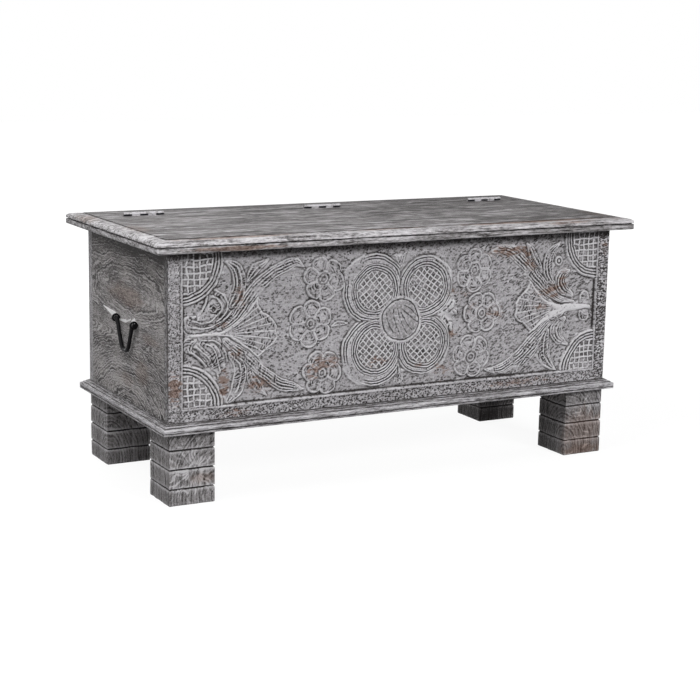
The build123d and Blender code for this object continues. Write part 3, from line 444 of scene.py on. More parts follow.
def fan(apex, rim):
    """A ribbed fan; its outline is a radius for each direction from the apex."""
    face = 1 if rim[0][0] > apex[0] else -1
    turns = np.array([np.degrees(np.arctan2(z - apex[1], face * (x - apex[0]))) for x, z in rim])
    reaches = np.array([hypot(x - apex[0], z - apex[1]) for x, z in rim])
    xs = [x for x, _ in (*rim, apex)]
    near = window(min(xs) - 3, max(xs) + 3, rim[-1][1] - 3, rim[0][1] + 3)
    dx, dz = face * (hand_x[near] - apex[0]), hand_z[near] - apex[1]
    off, angle = np.hypot(dx, dz), np.degrees(np.arctan2(dz, dx))
    edge = np.interp(angle, turns[::-1], reaches[::-1])
    from_side = np.minimum(turns[0] - angle, angle - turns[-1]) * off / 60
    inside = ease((edge - off) / WALL + 0.5) * ease(from_side + 0.5)
    place = (angle - turns[-1]) / (turns[0] - turns[-1]) * FAN_RIBS
    beside_rib = np.abs(place - np.round(place)) * (turns[0] - turns[-1]) / FAN_RIBS * off * pi / 180
    ribs = rib(beside_rib, 1.0) * ease((off - 12) / 10) * (0.3 + 0.7 * uneven[near])
    surface = LEAF_HEIGHT - 0.9 + 1.1 * ribs
    surface += 0.8 * rib(edge - off - 1.8, 1.4)
    rung = off + 2 * np.floor(place) + 2 * cloud(shape, (8, 8), 25)[near]
    nick = rib(every(rung, 5.5), 1.2) * (1 - ribs) * ease((off - 16) / 8) * ease((edge - off - 4) / 2)
    stand(near, inside, surface, nick * blotchy(0.05, 0.7, 9, 26)[near] * inside)


for apex, rim in FANS:
    fan(apex, rim)

# stems, volutes and the plain ribs that bound the sprays
STEMS = (                    # (x, z, half width)
    ((42, 287, 2), (70, 286.5, 2), (95, 288, 3), (114, 297, 3), (135, 313, 2.2), (150, 327, 1.8),
     (162, 343, 1)),
    ((90, 285, 2), (112, 281, 1.6), (133, 268, 1.5), (149, 254, 1.4), (164, 242, 1)),
    ((848, 284, 3), (826, 284, 5), (800, 285, 7), (780, 286, 6), (760, 293, 3), (742, 303, 1.8),
     (724, 321, 1.6), (711, 341, 1)),
    ((800, 284, 5), (776, 279, 6), (756, 270, 5), (736, 258, 3.5), (716, 242, 1.5)),
)
for line in STEMS:
    leaf(line, ribs=(), height=LEAF_HEIGHT + 0.6, cut=0.0, limed=1.0)

# the damaged bud right of the flower: torn wood, left raw
SPLIT = ((528, 286), (536, 278), (541, 266), (545, 256))
ridge(((546, 312), (544, 300), (552, 292)), 2.4, 4.0)
ridge(((540, 272), (544, 262)), 3.0, 4.2)
groove(SPLIT, 1.8, 3.2)
groove(((545, 300), (536, 293), (528, 296)), 1.5, 2.6)
TEAR = ((521, 293), (530, 297), (538, 305), (546, 316))
for line, half in ((SPLIT, 4.0), (TEAR, 2.4)):
    near, off, *_ = beside(line, reach=10.0)
    torn = rib(off, 0.6 * half) * blotchy(0.9, 1.4, 3.5, 29)[near]
    raw = rib(off, half + 1.5)
    nicks[near] = np.maximum(nicks[near] * (1 - raw), torn)
    washed[near] = np.maximum(washed[near], 1.8 * raw * (1 - torn))

# chisel strokes over the ground, pits over the margins, and the bead between them
field = (flat_x > FIELD_LEFT) & (flat_x < FIELD_RIGHT) & (flat_z > FIELD_FOOT) & (flat_z < FIELD_TOP)
out_of_field = np.maximum.reduce([
    FIELD_LEFT - flat_x, flat_x - FIELD_RIGHT, FIELD_FOOT - flat_z, flat_z - FIELD_TOP])
tooled = np.zeros(shape)


def strokes(count, box, length, width, depth, slant, lean=0):
    """Short tool marks strewn over a box; lean is their tilt in degrees, slant how far they stray from it."""
    x0, x1, z0, z1 = box
    for _ in range(count):
        x, z = chance.uniform(x0, x1), chance.uniform(z0, z1)
        half = length * chance.uniform(0.6, 1.3) / 2
        a = radians(chance.normal(lean, slant))
        near = window(x - half - 2, x + half + 2, z - half * abs(sin(a)) - 3, z + half * abs(sin(a)) + 3)
        dx, dz = flat_x[near] - x, flat_z[near] - z
        along, off = cos(a) * dx + sin(a) * dz, cos(a) * dz - sin(a) * dx
        mark = rib(off, width) * ease((half - np.abs(along)) / 2)
        tooled[near] = np.maximum(tooled[near], depth * chance.uniform(0.5, 1.0) * mark)


def scatter(where, *batches):
    """Strokes kept where the mask says."""
    tooled[:] = 0
    for batch in batches:
        strokes(*batch)
    return tooled * where


standing = ease((relief - 0.4) / 1.4)
beside_motif = ease(soften(standing, 4) * 2.8 - 0.12) * (1 - standing)      # scraped smooth up to the leaves
smooth = np.clip(beside_motif * (0.85 + 0.35 * cloud(shape, (30, 30), 41)), 0, 1)
dense = np.clip(0.85 + 0.3 * cloud(shape, (40, 30), 42), 0.3, 1)
TURN_OF_HAND = 560.0         # right of this the ground was cut from the other side
WHOLE_FIELD = (FIELD_LEFT, FIELD_RIGHT, FIELD_FOOT, FIELD_TOP)
# each batch: how many, where, length, width, depth, slant and lean
ground_marks = scatter(field * (1 - standing) * (1 - 0.9 * smooth) * dense,
                       (3600, (FIELD_LEFT, TURN_OF_HAND, FIELD_FOOT, FIELD_TOP), 6.0, 1.1, 1.0, 22),
                       (2400, (TURN_OF_HAND, FIELD_RIGHT, FIELD_FOOT, FIELD_TOP), 7.5, 1.1, 1.0, 14, 20),
                       (3800, WHOLE_FIELD, 3.4, 1.1, 1.0, 60))
leaf_marks = scatter(field * standing, (5200, WHOLE_FIELD, 4.5, 1.1, 0.8, 70))
margin_marks = scatter(~field,
                       (1700, (0, FIELD_LEFT, board_foot, board_top), 2.8, 1.05, 1.0, 60),
                       (760, (FIELD_RIGHT, board_width, board_foot, board_top), 6.5, 1.1, 1.0, 14),
                       (3400, (0, board_width, board_foot, FIELD_FOOT), 4.6, 1.0, 0.85, 22))
nicks = np.clip(np.where(field, np.maximum(nicks, 0.75 * leaf_marks), 0), 0, 1)
relief = np.maximum(relief, GROUND_LOW)
relief += 0.25 * cloud(shape, (11, 6), 5) * (1 - standing) + 0.16 * cloud(shape, (7, 5), 6) * standing
relief += 0.5 * smooth - 0.9 * ground_marks - 0.7 * nicks
MARGIN_SINK = 0.9
SLOPE = 6.0                  # the field's foot and sides rise to the margin over that width
edge_marks = margin_marks * ease((out_of_field + 0.5) / 2)
margin = CARVED_DEPTH - MARGIN_SINK * ease((out_of_field - 1.2) / 1.5) - 0.9 * edge_marks
margin += 0.25 * cloud(shape, (10, 5), 8) * ease((out_of_field - 3) / 3)
rise = ease(1 + out_of_field / SLOPE)
relief = np.where(out_of_field > 0, margin, np.maximum(relief, CARVED_DEPTH * rise ** 2))
relief = np.clip(relief, GROUND_LOW, CARVED_DEPTH)
at_foot = (flat_z < FIELD_FOOT + 12) & (flat_x > FIELD_LEFT + 60)
bead_lime = 0.05 + 0.25 * at_foot + 0.3 * cloud(shape, (25, 8), 43)
bead_lime *= ease((5 - np.abs(out_of_field + 3)) / 3)
lime = np.clip(smooth * field + bead_lime, 0, 1)
nicks = np.clip(np.maximum.reduce([nicks, ground_marks, edge_marks]), 0, 1)

# what the finisher did to it, with painted light: lime and a painted highlight on the ribs, dark stain and
# painted shade in the cuts, and places rubbed back to brown
proud = relief - soften(relief, 2)
# painted shade, with some dark stain: the carving darkened where it sinks below its surroundings
cavity = np.clip((-proud - 0.03) / 0.6, 0, 1) * (1 - 0.35 * latticed)
# lime and a painted highlight: the carving lightened where it stands proud of its surroundings
crest = np.clip((proud - 0.04) / 0.6, 0, 1) * (0.35 + 0.65 * uneven)
crest *= (1 + 0.6 * latticed) * (1 - 0.4 * rosetted)
crest *= 1 - 0.8 * ease((6 - np.abs(out_of_field)) / 4)
BARE_PLACES = (              # x, z, half width, half height, strength
    (12, 200, 14, 24, 1.0), (100, 200, 9, 24, 1.0), (166, 196, 22, 18, 0.8), (122, 252, 12, 9, 0.8),
    (286, 222, 30, 14, 0.7), (268, 205, 12, 10, 1.0), (95, 303, 12, 6, 0.7), (128, 345, 12, 22, 0.6),
    (668, 396, 40, 11, 0.9), (704, 384, 8, 16, 0.8), (716, 368, 10, 14, 0.7), (760, 318, 32, 13, 0.7),
    (548, 254, 10, 6, 1.0), (528, 190, 22, 18, 0.5), (392, 216, 30, 10, 0.6), (480, 205, 18, 10, 0.5),
    (785, 338, 14, 20, 0.5), (740, 290, 25, 8, 0.5), (637, 285, 20, 16, 0.5), (590, 292, 14, 16, 0.4),
    (120, 150, 24, 7, 0.6), (690, 152, 90, 7, 0.5), (875, 395, 10, 16, 0.5), (560, 330, 26, 12, 0.4),
)
REACH = 2.2                  # how far a bare place's fading edge is worked out, in half widths
rubbed = np.zeros(shape)
for x, z, half_w, half_h, strength in BARE_PLACES:
    near = window(x - REACH * half_w, x + REACH * half_w, z - REACH * half_h, z + REACH * half_h)
    spread = ((flat_x[near] - x) / half_w) ** 2 + ((flat_z[near] - z) / half_h) ** 2
    rubbed[near] = np.maximum(rubbed[near], strength * np.exp(-spread))
rubbed *= 0.75 + 0.5 * cloud(shape, (8, 4), 9)


def placed(name, data):
    """A new object in the scene."""
    made = bpy.data.objects.new(name, data)
    bpy.context.scene.collection.objects.link(made)
    return made


def closed_mesh(name, points, quads, others):
    """A mesh from arrays of points and quads and a list of other polygons; the quads are smooth."""
    mesh = bpy.data.meshes.new(name)
    corners = np.concatenate([np.asarray(quads, int).ravel(), *[np.asarray(p, int) for p in others]])
    sizes = np.array([4] * len(quads) + [len(p) for p in others])
    mesh.vertices.add(len(points))
    mesh.vertices.foreach_set("co", np.asarray(points, np.float32).ravel())
    mesh.loops.add(len(corners))
    mesh.loops.foreach_set("vertex_index", corners.astype(np.int32))
    mesh.polygons.add(len(sizes))
    mesh.polygons.foreach_set("loop_start", (np.cumsum(sizes) - sizes).astype(np.int32))
    mesh.polygons.foreach_set("use_smooth", np.arange(len(sizes)) < len(quads))
    mesh.update(calc_edges=True)
    mesh.validate()
    mesh.set_sharp_from_angle(angle=radians(70))
    return placed(name, mesh)


def give(made, **fields):
    """Writes one number for each point of a mesh, under each name."""
    for name, values in fields.items():
        filled = np.zeros(len(made.data.vertices), np.float32)
        filled[: values.size] = values.ravel()
        made.data.attributes.new(name, "FLOAT", "POINT").data.foreach_set("value", filled)


class Wire:
    """What leaves a node's socket. Arithmetic on wires and numbers adds the nodes that work it out."""

    def __init__(self, socket):
        self.socket, self.tree = socket, socket.id_data

    def __add__(self, other):
        return maths("ADD", self, other)

    def __sub__(self, other):
        return maths("SUBTRACT", self, other)

    def __rsub__(self, other):
        return maths("SUBTRACT", other, self)

    def __mul__(self, other):
        return maths("MULTIPLY", self, other)

    def __truediv__(self, other):
        return maths("DIVIDE", self, other)

    def __abs__(self):
        return maths("ABSOLUTE", self)

    __radd__, __rmul__ = __add__, __mul__


def feed(made, inputs):
    """Gives a node its inputs, by name or number: a value or a wire, or a list of wires for one socket."""
    for key, given in inputs.items():
        for one in given if isinstance(given, list) else [given]:
            if isinstance(one, Wire):
                one.tree.links.new(one.socket, made.inputs[key])
            else:
                made.inputs[key].default_value = one


def flow(kind, inputs=None, out=0, tree=None, **settings):
    """Adds a node, of a shader kind unless its full name is given, and returns the wire that leaves it. It
    goes in the tree that its inputs come from, or in the one that is named."""
    inputs = inputs or {}
    tree = tree or next(given.tree for given in inputs.values() if isinstance(given, Wire))
    made = tree.nodes.new(kind if "Node" in kind else "ShaderNode" + kind)
    for name, value in settings.items():
        setattr(made, name, value)
    feed(made, inputs)
    return Wire(made.outputs[out])


def maths(operation, *parts, clamp=False):
    """Arithmetic on numbers, of which one at least is a wire."""
    return flow("Math", dict(enumerate(parts)), operation=operation, use_clamp=clamp)


def vectors(operation, *parts, out=0, **more):
    """Arithmetic on vectors; more gives the inputs that have a name."""
    return flow("VectorMath", {**dict(enumerate(parts)), **more}, out, operation=operation)


def norm(vector):
    """How long a vector is."""
    return vectors("LENGTH", vector, out="Value")


def together(*parts):
    """A vector of its parts."""
    return flow("CombineXYZ", dict(enumerate(parts)))


def apart(vector):
    """A vector's three parts."""
    return [Wire(socket) for socket in flow("SeparateXYZ", {0: vector}).socket.node.outputs]


def larger(*parts):
    """The largest of them."""
    largest = parts[0]
    for part in parts[1:]:
        largest = maths("MAXIMUM", largest, part)
    return largest


def smaller(a, b):
    """The smaller of the two."""
    return maths("MINIMUM", a, b)


def clamped(value):
    """Kept between 0 and 1."""
    return maths("ADD", value, 0.0, clamp=True)


def tint(share, a, b):
    """From colour a to colour b."""
    return flow("Mix", {0: share, 6: a, 7: b}, 2, data_type="RGBA")


def step_up(value, low, high, out=1.0):
    """0 below low, out above high, eased between."""
    return flow("MapRange", {0: value, 1: low, 2: high, 3: 0.0, 4: out}, interpolation_type="SMOOTHSTEP")


def noise(vector, detail=3.0, roughness=0.6):
    """Noise with lumps of about one unit."""
    return flow("TexNoise", {"Vector": vector, "Scale": 1.0, "Detail": detail, "Roughness": roughness})


def stretched(parts, sizes, shift=0.0):
    """A vector of millimetres, each part divided by a size; shift moves it to other noise."""
    return together(*[maths("MULTIPLY_ADD", part, 1 / size, shift) for part, size in zip(parts, sizes)])


def blank(name):
    """A new material, its surface's node, and the place on the chest, in metres."""
    material = bpy.data.materials.new(name)
    material.use_nodes = True
    tree = material.node_tree
    return material, tree.nodes["Principled BSDF"], flow("TexCoord", out="Object", tree=tree)


# the finish's colours, from the stain and painted shade deep in a cut to the lime and painted highlight on an
# edge
STAIN_AND_SHADE = (0.024, 0.021, 0.021, 1)
SHADE = (0.118, 0.112, 0.114, 1)
GREY = (0.262, 0.253, 0.260, 1)
LIME = (0.420, 0.408, 0.430, 1)
CHALK = (0.600, 0.590, 0.610, 1)
FILLER_WHITE = (0.86, 0.85, 0.86, 1)
DARK_BROWN = (0.055, 0.028, 0.020, 1)
PALE_BROWN = (0.27, 0.180, 0.142, 1)
WARM_GREY = (0.25, 0.225, 0.20, 1)
TONE_STOPS = ((0.25, SHADE), (0.5, GREY), (0.75, LIME))      # between the stain and painted shade at 0 and CHALK at 1
# the crests add lime and a painted highlight, the cuts dark stain and painted shade
CARVED_TONES = {"crest": 0.50, "cavity": -0.78, "nicks": -0.80, "lime": 0.43}    # what each adds to the tone
GRAIN_RELIEF = 1.6 * MM      # how deep the open grain looks


def limed_wood(name, grain="XYZ", heart=(0, -300), ring=9.0, figure=0.5, streak=1.0, width=3.0, length=12,
               broadly=0.6, tone=0.0, brown=0.15, carved=False, warmth=0.0, patches=(), marks=None,
               rings=None, seed=0.0):
    """Limed mango. grain names the axis along the grain and then the two across it; heart is where the
    tree's middle lies across the grain, in millimetres, or rings works out another figure; ring is the width
    of a year; figure, streak and broadly weigh the years, the streaks and the broad clouds; width is a
    streak's, in millimetres, and length how many times longer it is; tone lightens; brown is the share rubbed
    bare; carved wood takes from the mesh its cuts, darkened with stain and painted shade, and its crests,
    lightened with lime and a painted highlight; warmth yellows the pale parts; patches are rubbed places
    (centre, half sizes, strength) in millimetres; marks gives (dark, light) masks, which hold stains, lime
    and filler and also painted shade and painted highlights, or None."""
    material, surface, place = blank(name)
    scaled = vectors("SCALE", place, Scale=1 / MM)
    axes = apart(scaled)
    parts = [axes["XYZ".index(letter)] for letter in grain]
    _, side, deep = parts

    def grained(sizes, shift, detail=3.0, roughness=0.6):
        """Noise in lumps of those sizes, first along the grain and then across it."""
        return noise(stretched(parts, sizes, seed + shift), detail, roughness)

    def from_mesh(label):
        """A number that each point of the mesh carries."""
        return flow("Attribute", out="Fac", tree=place.tree, attribute_name=label)

    if rings:
        from_heart, clear = rings(axes)
    else:
        off_side = grained((210, 90, 90), 0, 2.0) * 70.0 + (side - (heart[0] + 35.0))
        from_heart, clear = norm(together(off_side, deep - heart[1])), 1.0
    from_heart += grained((55, 26, 26), 7, 2.0) * (2.2 * ring)
    year = noise(together(from_heart / (2.4 * ring), seed), 2.0)
    from_heart += year * (1.7 * ring)    # wide and narrow years
    strong = step_up(noise(together(from_heart / (1.4 * ring), seed + 4), 2.0), 0.34, 0.64, 1.5) * clear
    years = (step_up(maths("SINE", from_heart * (2 * pi / ring)), -0.6, 1.0) - 0.5) * strong + 0.5
    fine = grained((length * width, width, width), 3, 4.0, 0.8)
    thread = grained((0.27 * length * width, 0.62 * width, 0.62 * width), 5, 3.0, 0.75)
    broad = grained((170, 20, 20), 11)
    cloudy = grained((75, 48, 48), 17)
    tonal = 0.5 + tone
    for layer, share in ((fine, 2.0 * streak), (thread, 2.0 * streak), (broad, 0.9 * broadly),
                         (cloudy, 0.6 * broadly), (years, 0.5 * figure)):
        tonal = (layer - 0.5) * share + tonal
    tonal -= step_up(thread, 0.60, 0.70) * (0.22 * streak)       # open pores

    dark, light = marks(axes, scaled) if marks else (None, None)
    if carved:
        for label, share in CARVED_TONES.items():
            tonal += from_mesh(label) * share
        pitted = grained((2.6, 1.7, 1.7), 29, 3.0, 0.8)
        tonal += (pitted - 0.5) * (1.2 - clamped(from_mesh("lime")) * 0.9)
    if light:
        tonal += light * 0.5
    if dark:
        tonal -= dark * 0.6
    ramp = flow("ValToRGB", {0: tonal})
    stops = ramp.socket.node.color_ramp.elements
    stops[0].color, stops[1].color = STAIN_AND_SHADE, CHALK
    for spot, colour in TONE_STOPS:
        stops.new(spot).color = colour

    ragged = grained((36, 9, 9), 23, 5.0, 0.75)
    bare = step_up(ragged, 0.72 - 0.3 * brown, 0.84 - 0.3 * brown, 0.6)
    if carved:
        bare = larger(bare, step_up(thread * 2.0 + (from_mesh("rubbed") - 1.0), 0.20, 0.60, 0.85))
    for centre, half, strength in patches:
        reach = norm(vectors("DIVIDE", vectors("SUBTRACT", scaled, centre), half))
        reach += 1.62 - (thread * 0.8 + ragged) * 1.8
        bare = larger(bare, strength - step_up(reach, 0.45, 1.0, strength))
    wood = tint(clamped(tonal * 1.3 - 0.25), DARK_BROWN, PALE_BROWN)
    colour = tint(smaller(bare, 0.85), ramp, wood)
    if warmth:
        colour = tint(cloudy * warmth * clamped(tonal * 1.6), colour, WARM_GREY)
    if light:
        colour = tint(step_up(light, 0.9, 1.8), colour, FILLER_WHITE)
    lift = thread * 0.8 + fine + years * (0.3 * figure)
    bump = flow("Bump", {"Strength": 0.8, "Distance": GRAIN_RELIEF, "Height": lift})
    feed(surface, {
        "Base Color": colour, "Roughness": fine * 0.3 + 0.55, "Specular IOR Level": 0.2, "Normal": bump})
    return material


board_back = board_high.y
PLANK_LET_IN = 10 * MM       # the bottom planks run that far into the board's inner face
PLANK_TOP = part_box("bottom_plank_1")[1].z


def lid_shadow_and_pitted_ends(axes, scaled):
    """A painted shadow darkens the board where the lid's edge overhangs it, and its sawn ends are pitted."""
    ragged = noise(vectors("SCALE", scaled, Scale=1 / 9))
    # painted shadow of the lid's overhang along the top of the board
    dark = step_up(ragged * 14.0 + axes[2], board_top - 13, board_top + 3)
    end = step_up(abs(axes[0]), board_width / 2 - 0.3, board_width / 2 - 0.1)
    pits = step_up(noise(stretched(axes, (5.0, 5.0, 5.0), 20.0), 3.0, 0.8), 0.60, 0.40)
    return (pits * 0.8 + 0.1) * end + dark, None


carved_face = limed_wood("carved_limed_wood", "XZY", heart=(0.3 * board_width, -260), figure=0.1, streak=0.12,
                         broadly=0.3, tone=0.17, carved=True, marks=lid_shadow_and_pitted_ends, brown=0.12, seed=2.0)
ZONES = 4
cuts = np.linspace(0, columns - 1, ZONES + 1).astype(int)
limed = 0.8 * lime + 0.05 * standing + 0.8 * washed
for zone, (first, last) in enumerate(zip(cuts, cuts[1:]), 1):
    span = slice(first, last + 1)
    face_x, face_z = board_low.x + flat_x[span] * MM, flat_z[span] * MM
    face_y = board_low.y + (CARVED_DEPTH - relief[span]) * MM
    points = np.stack([face_x, face_y, face_z], -1).reshape(-1, 3)
    index = np.arange(len(points)).reshape(face_x.shape)
    quads = np.stack([index[:-1, :-1], index[1:, :-1], index[1:, 1:], index[:-1, 1:]], -1).reshape(-1, 4)
    profile = ((board_back, board_high.z), (board_back, PLANK_TOP),
               (board_back - PLANK_LET_IN, PLANK_TOP), (board_back - PLANK_LET_IN, board_low.z))
    ends = face_x[0, 0], face_x[-1, 0]
    points = np.vstack([points, [(x, y, z) for x in ends for y, z in profile]])
    left, right = [list(range(index.size + 4 * i, index.size + 4 * i + 4)) for i in (0, 1)]
    others = [[*index[0, :], *left], [*index[-1, ::-1], *right[::-1]],
              [*index[:, -1], right[0], left[0]], [*index[::-1, 0], left[3], right[3]]]
    others += [[left[i + 1], left[i], right[i], right[i + 1]] for i in range(3)]
    piece = closed_mesh(f"carved_front_{zone}", points, quads, others)
    give(piece, cavity=cavity[span], crest=crest[span], rubbed=rubbed[span], nicks=nicks[span],
         lime=limed[span])
    piece.data.materials.append(carved_face)
    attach(piece, "carcass")
    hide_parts("front_board")

# ---------------------------------------------------------------- back, sides, bottom and dowels
# Plain boards of the same wood. The sides stand between the front and the back and are dowelled to them;
# three planks are let in under all four. Pale filler was smeared round the left handle.
def finish(material, *nodes):
    """Puts a material on CAD nodes."""
    for name in nodes:
        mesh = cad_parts[name].data
        mesh.materials.clear()
        mesh.materials.append(material)


def side_figure(axes):
    """The sides' grain: an eye above the handle, level lines over it and a tall pointed arch below."""
    _, depth, level = axes
    bend = noise(together(depth / 46.0, level / 26.0), 2.0) * 44.0 - 22.0
    eye = norm(together((depth + 18.0) / 3.8, level - 335.0))
    arch = norm(together(depth + 10.0, (level - 120.0) * 2.1)) * 0.5
    below = step_up(bend * 0.6 + level, 246.0, 292.0)
    faint = step_up(noise(together(depth / 70.0, level / 30.0, 5.0), 2.0), 0.36, 0.62)
    inside = step_up(bend * 0.3 + eye, 20.0, 34.0)
    return bend * 0.45 + arch + (eye - arch) * below, faint * inside * 0.75 + 0.25


def smear(scaled, start, end, half_start, half_end):
    """A mask along a line from start to end, of changing half width, in millimetres."""
    run = Vector(end) - Vector(start)
    off = vectors("SUBTRACT", scaled, start)
    along = clamped(vectors("DOT_PRODUCT", off, run / run.length_squared, out="Value"))
    gap = vectors("DISTANCE", off, vectors("SCALE", tuple(run), Scale=along), out="Value")
    ragged = noise(vectors("SCALE", scaled, Scale=1 / 5), 3.0, 0.7)
    return step_up(ragged * 3.0 + (along * (half_end - half_start) + half_start - gap - 1.5), -0.6, 0.8)


LEFT_FACE = -443.0
FILLER = (                   # start (y, z), end, half widths, strength
    ((56, 285), (114, 293), 6.5, 0.8, 2.2), ((34, 281), (2, 283), 2.2, 3.2, 1.7),
    ((0, 283), (-20, 290), 1.8, 1.8, 1.5), ((-28, 286), (-38, 290), 5.0, 5.0, 1.8),
    ((-40, 290), (-91, 295), 1.6, 1.4, 0.9), ((-91, 295), (-140, 307), 1.4, 1.4, 0.8),
    ((-140, 307), (-186, 322), 1.4, 1.6, 0.7), ((2, 290), (40, 306), 1.2, 1.0, 0.5),
)


def side_filler_and_lid_shadow(axes, scaled):
    """Filler round the handle's eyes, and a painted shadow darkening the side below the lid."""
    light = larger(*[
        smear(scaled, (LEFT_FACE, *start), (LEFT_FACE, *end), half_start, half_end) * strength
        for start, end, half_start, half_end, strength in FILLER])
    # the first value is painted shadow under the lid's overhang, darkest at the top
    return step_up(axes[2], 330.0, 412.0, 0.45) + step_up(axes[2], 400.0, 424.0, 1.2), light


SIDE_WEAR = (                # rubbed places: centre, half sizes, strength
    ((-443, 0, 328), (12, 95, 24), 0.6), ((-443, -70, 205), (12, 34, 26), 0.45),
    ((-443, -110, 268), (12, 50, 12), 0.4), ((-443, 0, 180), (12, 40, 16), 0.35),
)
side_grain = limed_wood("side_limed_wood", "YZX", ring=5.0, figure=1.7, streak=1.5, width=1.9, length=6,
                        broadly=1.6, tone=-0.06, brown=0.16, warmth=0.75, seed=31.0, rings=side_figure,
                        marks=side_filler_and_lid_shadow, patches=SIDE_WEAR)
back_grain = limed_wood("back_limed_wood", "XZY", heart=(210, 420), ring=9.0, figure=0.5, streak=0.95,
                        width=2.0, length=26, broadly=0.5, tone=0.06, seed=47.0, brown=0.2)
bare_wood = limed_wood("unlimed_wood", "XYZ", heart=(60, -90), ring=8.0, figure=0.8, streak=0.5, tone=-0.12,
                       brown=1.1, seed=61.0)
finish(side_grain, "side_board_left", "side_board_right")
finish(back_grain, "back_board")
finish(bare_wood, "bottom_plank_1", "bottom_plank_2", "bottom_plank_3", "corner_dowels", "rail_dowels")

# ---------------------------------------------------------------- base moulding and its nails
# Four mitred strips planted round the foot of the boards, run with a fine groove near the lower edge and
# nailed with lost-head brads.
mould_low, mould_high = [corner.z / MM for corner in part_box("base_moulding_front")]
GROOVE = 4.1                 # the groove, above the strip's underside
NOSE_HEAD = 9.4              # upper edge of the nose
WEATHER_STEPS = (12.3, 15.2)     # and the fine steps of the sloping top


def rib_mask(value, middle, half_width):
    """1 at the middle, fading to 0 about twice half_width away."""
    return maths("DIVIDE", 1.0, maths("POWER", abs((value - middle) / half_width), 3.0) + 1.0)


def moulding_painted_shade_and_highlight(axes, scaled):
    """Painted shade in the groove, on the fine steps of the sloping top and where the strip meets the board,
    and a painted highlight along the nose.
    """
    above = axes[2] - mould_low
    # painted shade in the groove, where the strip meets the board and on the steps; painted highlight on the
    # nose
    dark = [rib_mask(above, GROOVE, 1.0), rib_mask(axes[2], mould_high, 1.6)]
    dark += [rib_mask(above, step, 0.6) * 0.9 for step in WEATHER_STEPS]
    return larger(*dark), rib_mask(above, NOSE_HEAD, 1.0) * 0.35


for grain, ends in (("XZY", ("front", "back")), ("YZX", ("left", "right"))):
    strip = limed_wood(f"moulding_limed_wood_{grain[0]}", grain, heart=(90, 30), ring=5.0, figure=0.4,
                       streak=1.3, width=1.7, length=20, broadly=0.4, tone=0.13, brown=0.3,
                       marks=moulding_painted_shade_and_highlight, seed=71.0)
    finish(strip, *[f"base_moulding_{end}" for end in ends])


def metal(name, colour, worn, roughness, metallic, lump, gloss=0.5):
    """Metal with a dull skin worn through in places; lump is the size of its unevenness in millimetres."""
    material, surface, place = blank(name)
    patchy = noise(vectors("SCALE", place, Scale=1 / (MM * lump)), 4.0)
    feed(surface, {
        "Base Color": tint(step_up(patchy, 0.45, 0.7), colour, worn), "Metallic": metallic,
        "Roughness": patchy * 0.3 + (roughness - 0.15), "Specular IOR Level": gloss,
        "Normal": flow("Bump", {"Strength": 0.5, "Distance": 0.6 * MM, "Height": patchy})})
    return material


def geometry_tree(name, sizes):
    """A Geometry Nodes tree with these number inputs; returns the wires of what it is given."""
    tree = bpy.data.node_groups.new(name, "GeometryNodeTree")
    tree.interface.new_socket("Geometry", in_out="INPUT", socket_type="NodeSocketGeometry")
    for label in sizes:
        tree.interface.new_socket(label, in_out="INPUT", socket_type="NodeSocketFloat")
    tree.interface.new_socket("Geometry", in_out="OUTPUT", socket_type="NodeSocketGeometry")
    return {socket.name: Wire(socket) for socket in tree.nodes.new("NodeGroupInput").outputs}


def grown(shape, source, material, sizes):
    """Ends a tree with its shape, runs it on source and returns a plain mesh object of the tree's name."""
    tree = shape.tree
    real = flow("GeometryNodeRealizeInstances", {0: shape})
    done = flow("GeometryNodeSetMaterial", {"Geometry": real, "Material": material})
    feed(tree.nodes.new("NodeGroupOutput"), {0: done})
    modifier = source.modifiers.new(tree.name, "NODES")
    modifier.node_group = tree
    for socket in tree.interface.items_tree:
        if socket.in_out == "INPUT" and socket.name in sizes:
            modifier[socket.identifier] = sizes[socket.name]
    bpy.context.view_layer.update()
    graph = bpy.context.evaluated_depsgraph_get()
    mesh = bpy.data.meshes.new_from_object(source.evaluated_get(graph), depsgraph=graph)
    bpy.data.objects.remove(source)
    mesh.name = tree.name
    mesh.set_sharp_from_angle(angle=radians(50))
    return placed(tree.name, mesh)


def evenly(count, span):
    """That many places along a span, half a gap in from its ends."""
    return [(i - (count - 1) / 2) * span / count for i in range(count)]


dull_steel = metal("dull_steel", (0.22, 0.21, 0.21, 1), (0.10, 0.10, 0.10, 1), 0.5, 0.7, 5.0)
BRAD = {"Head Radius": 1.2 * MM, "Head Thickness": 0.8 * MM, "Shank Radius": 0.8 * MM, "Length": 28.0 * MM}
BRADS_FRONT, BRADS_SIDE = 5, 2
nail_low, nail_high = [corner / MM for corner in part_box("moulding_nails")]
nail_level = (nail_low.z + nail_high.z) / 2
board_depth = (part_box("back_board")[1].y - board_low.y) / MM
along_front, along_side = evenly(BRADS_FRONT, board_width), evenly(BRADS_SIDE, board_depth)
spots = [(x, y, nail_level, 0, y) for y in (nail_low.y, nail_high.y) for x in along_front]
spots += [(x, y, nail_level, x, 0) for x in (nail_low.x, nail_high.x) for y in along_side]
nail_mesh = bpy.data.meshes.new("nail_spots")
nail_mesh.from_pydata([Vector(spot[:3]) * MM for spot in spots], [], [])
outward = nail_mesh.attributes.new("outward", "FLOAT_VECTOR", "POINT").data
for data, (*_, out_x, out_y) in zip(outward, spots):
    data.vector = Vector((out_x, out_y, 0)).normalized()

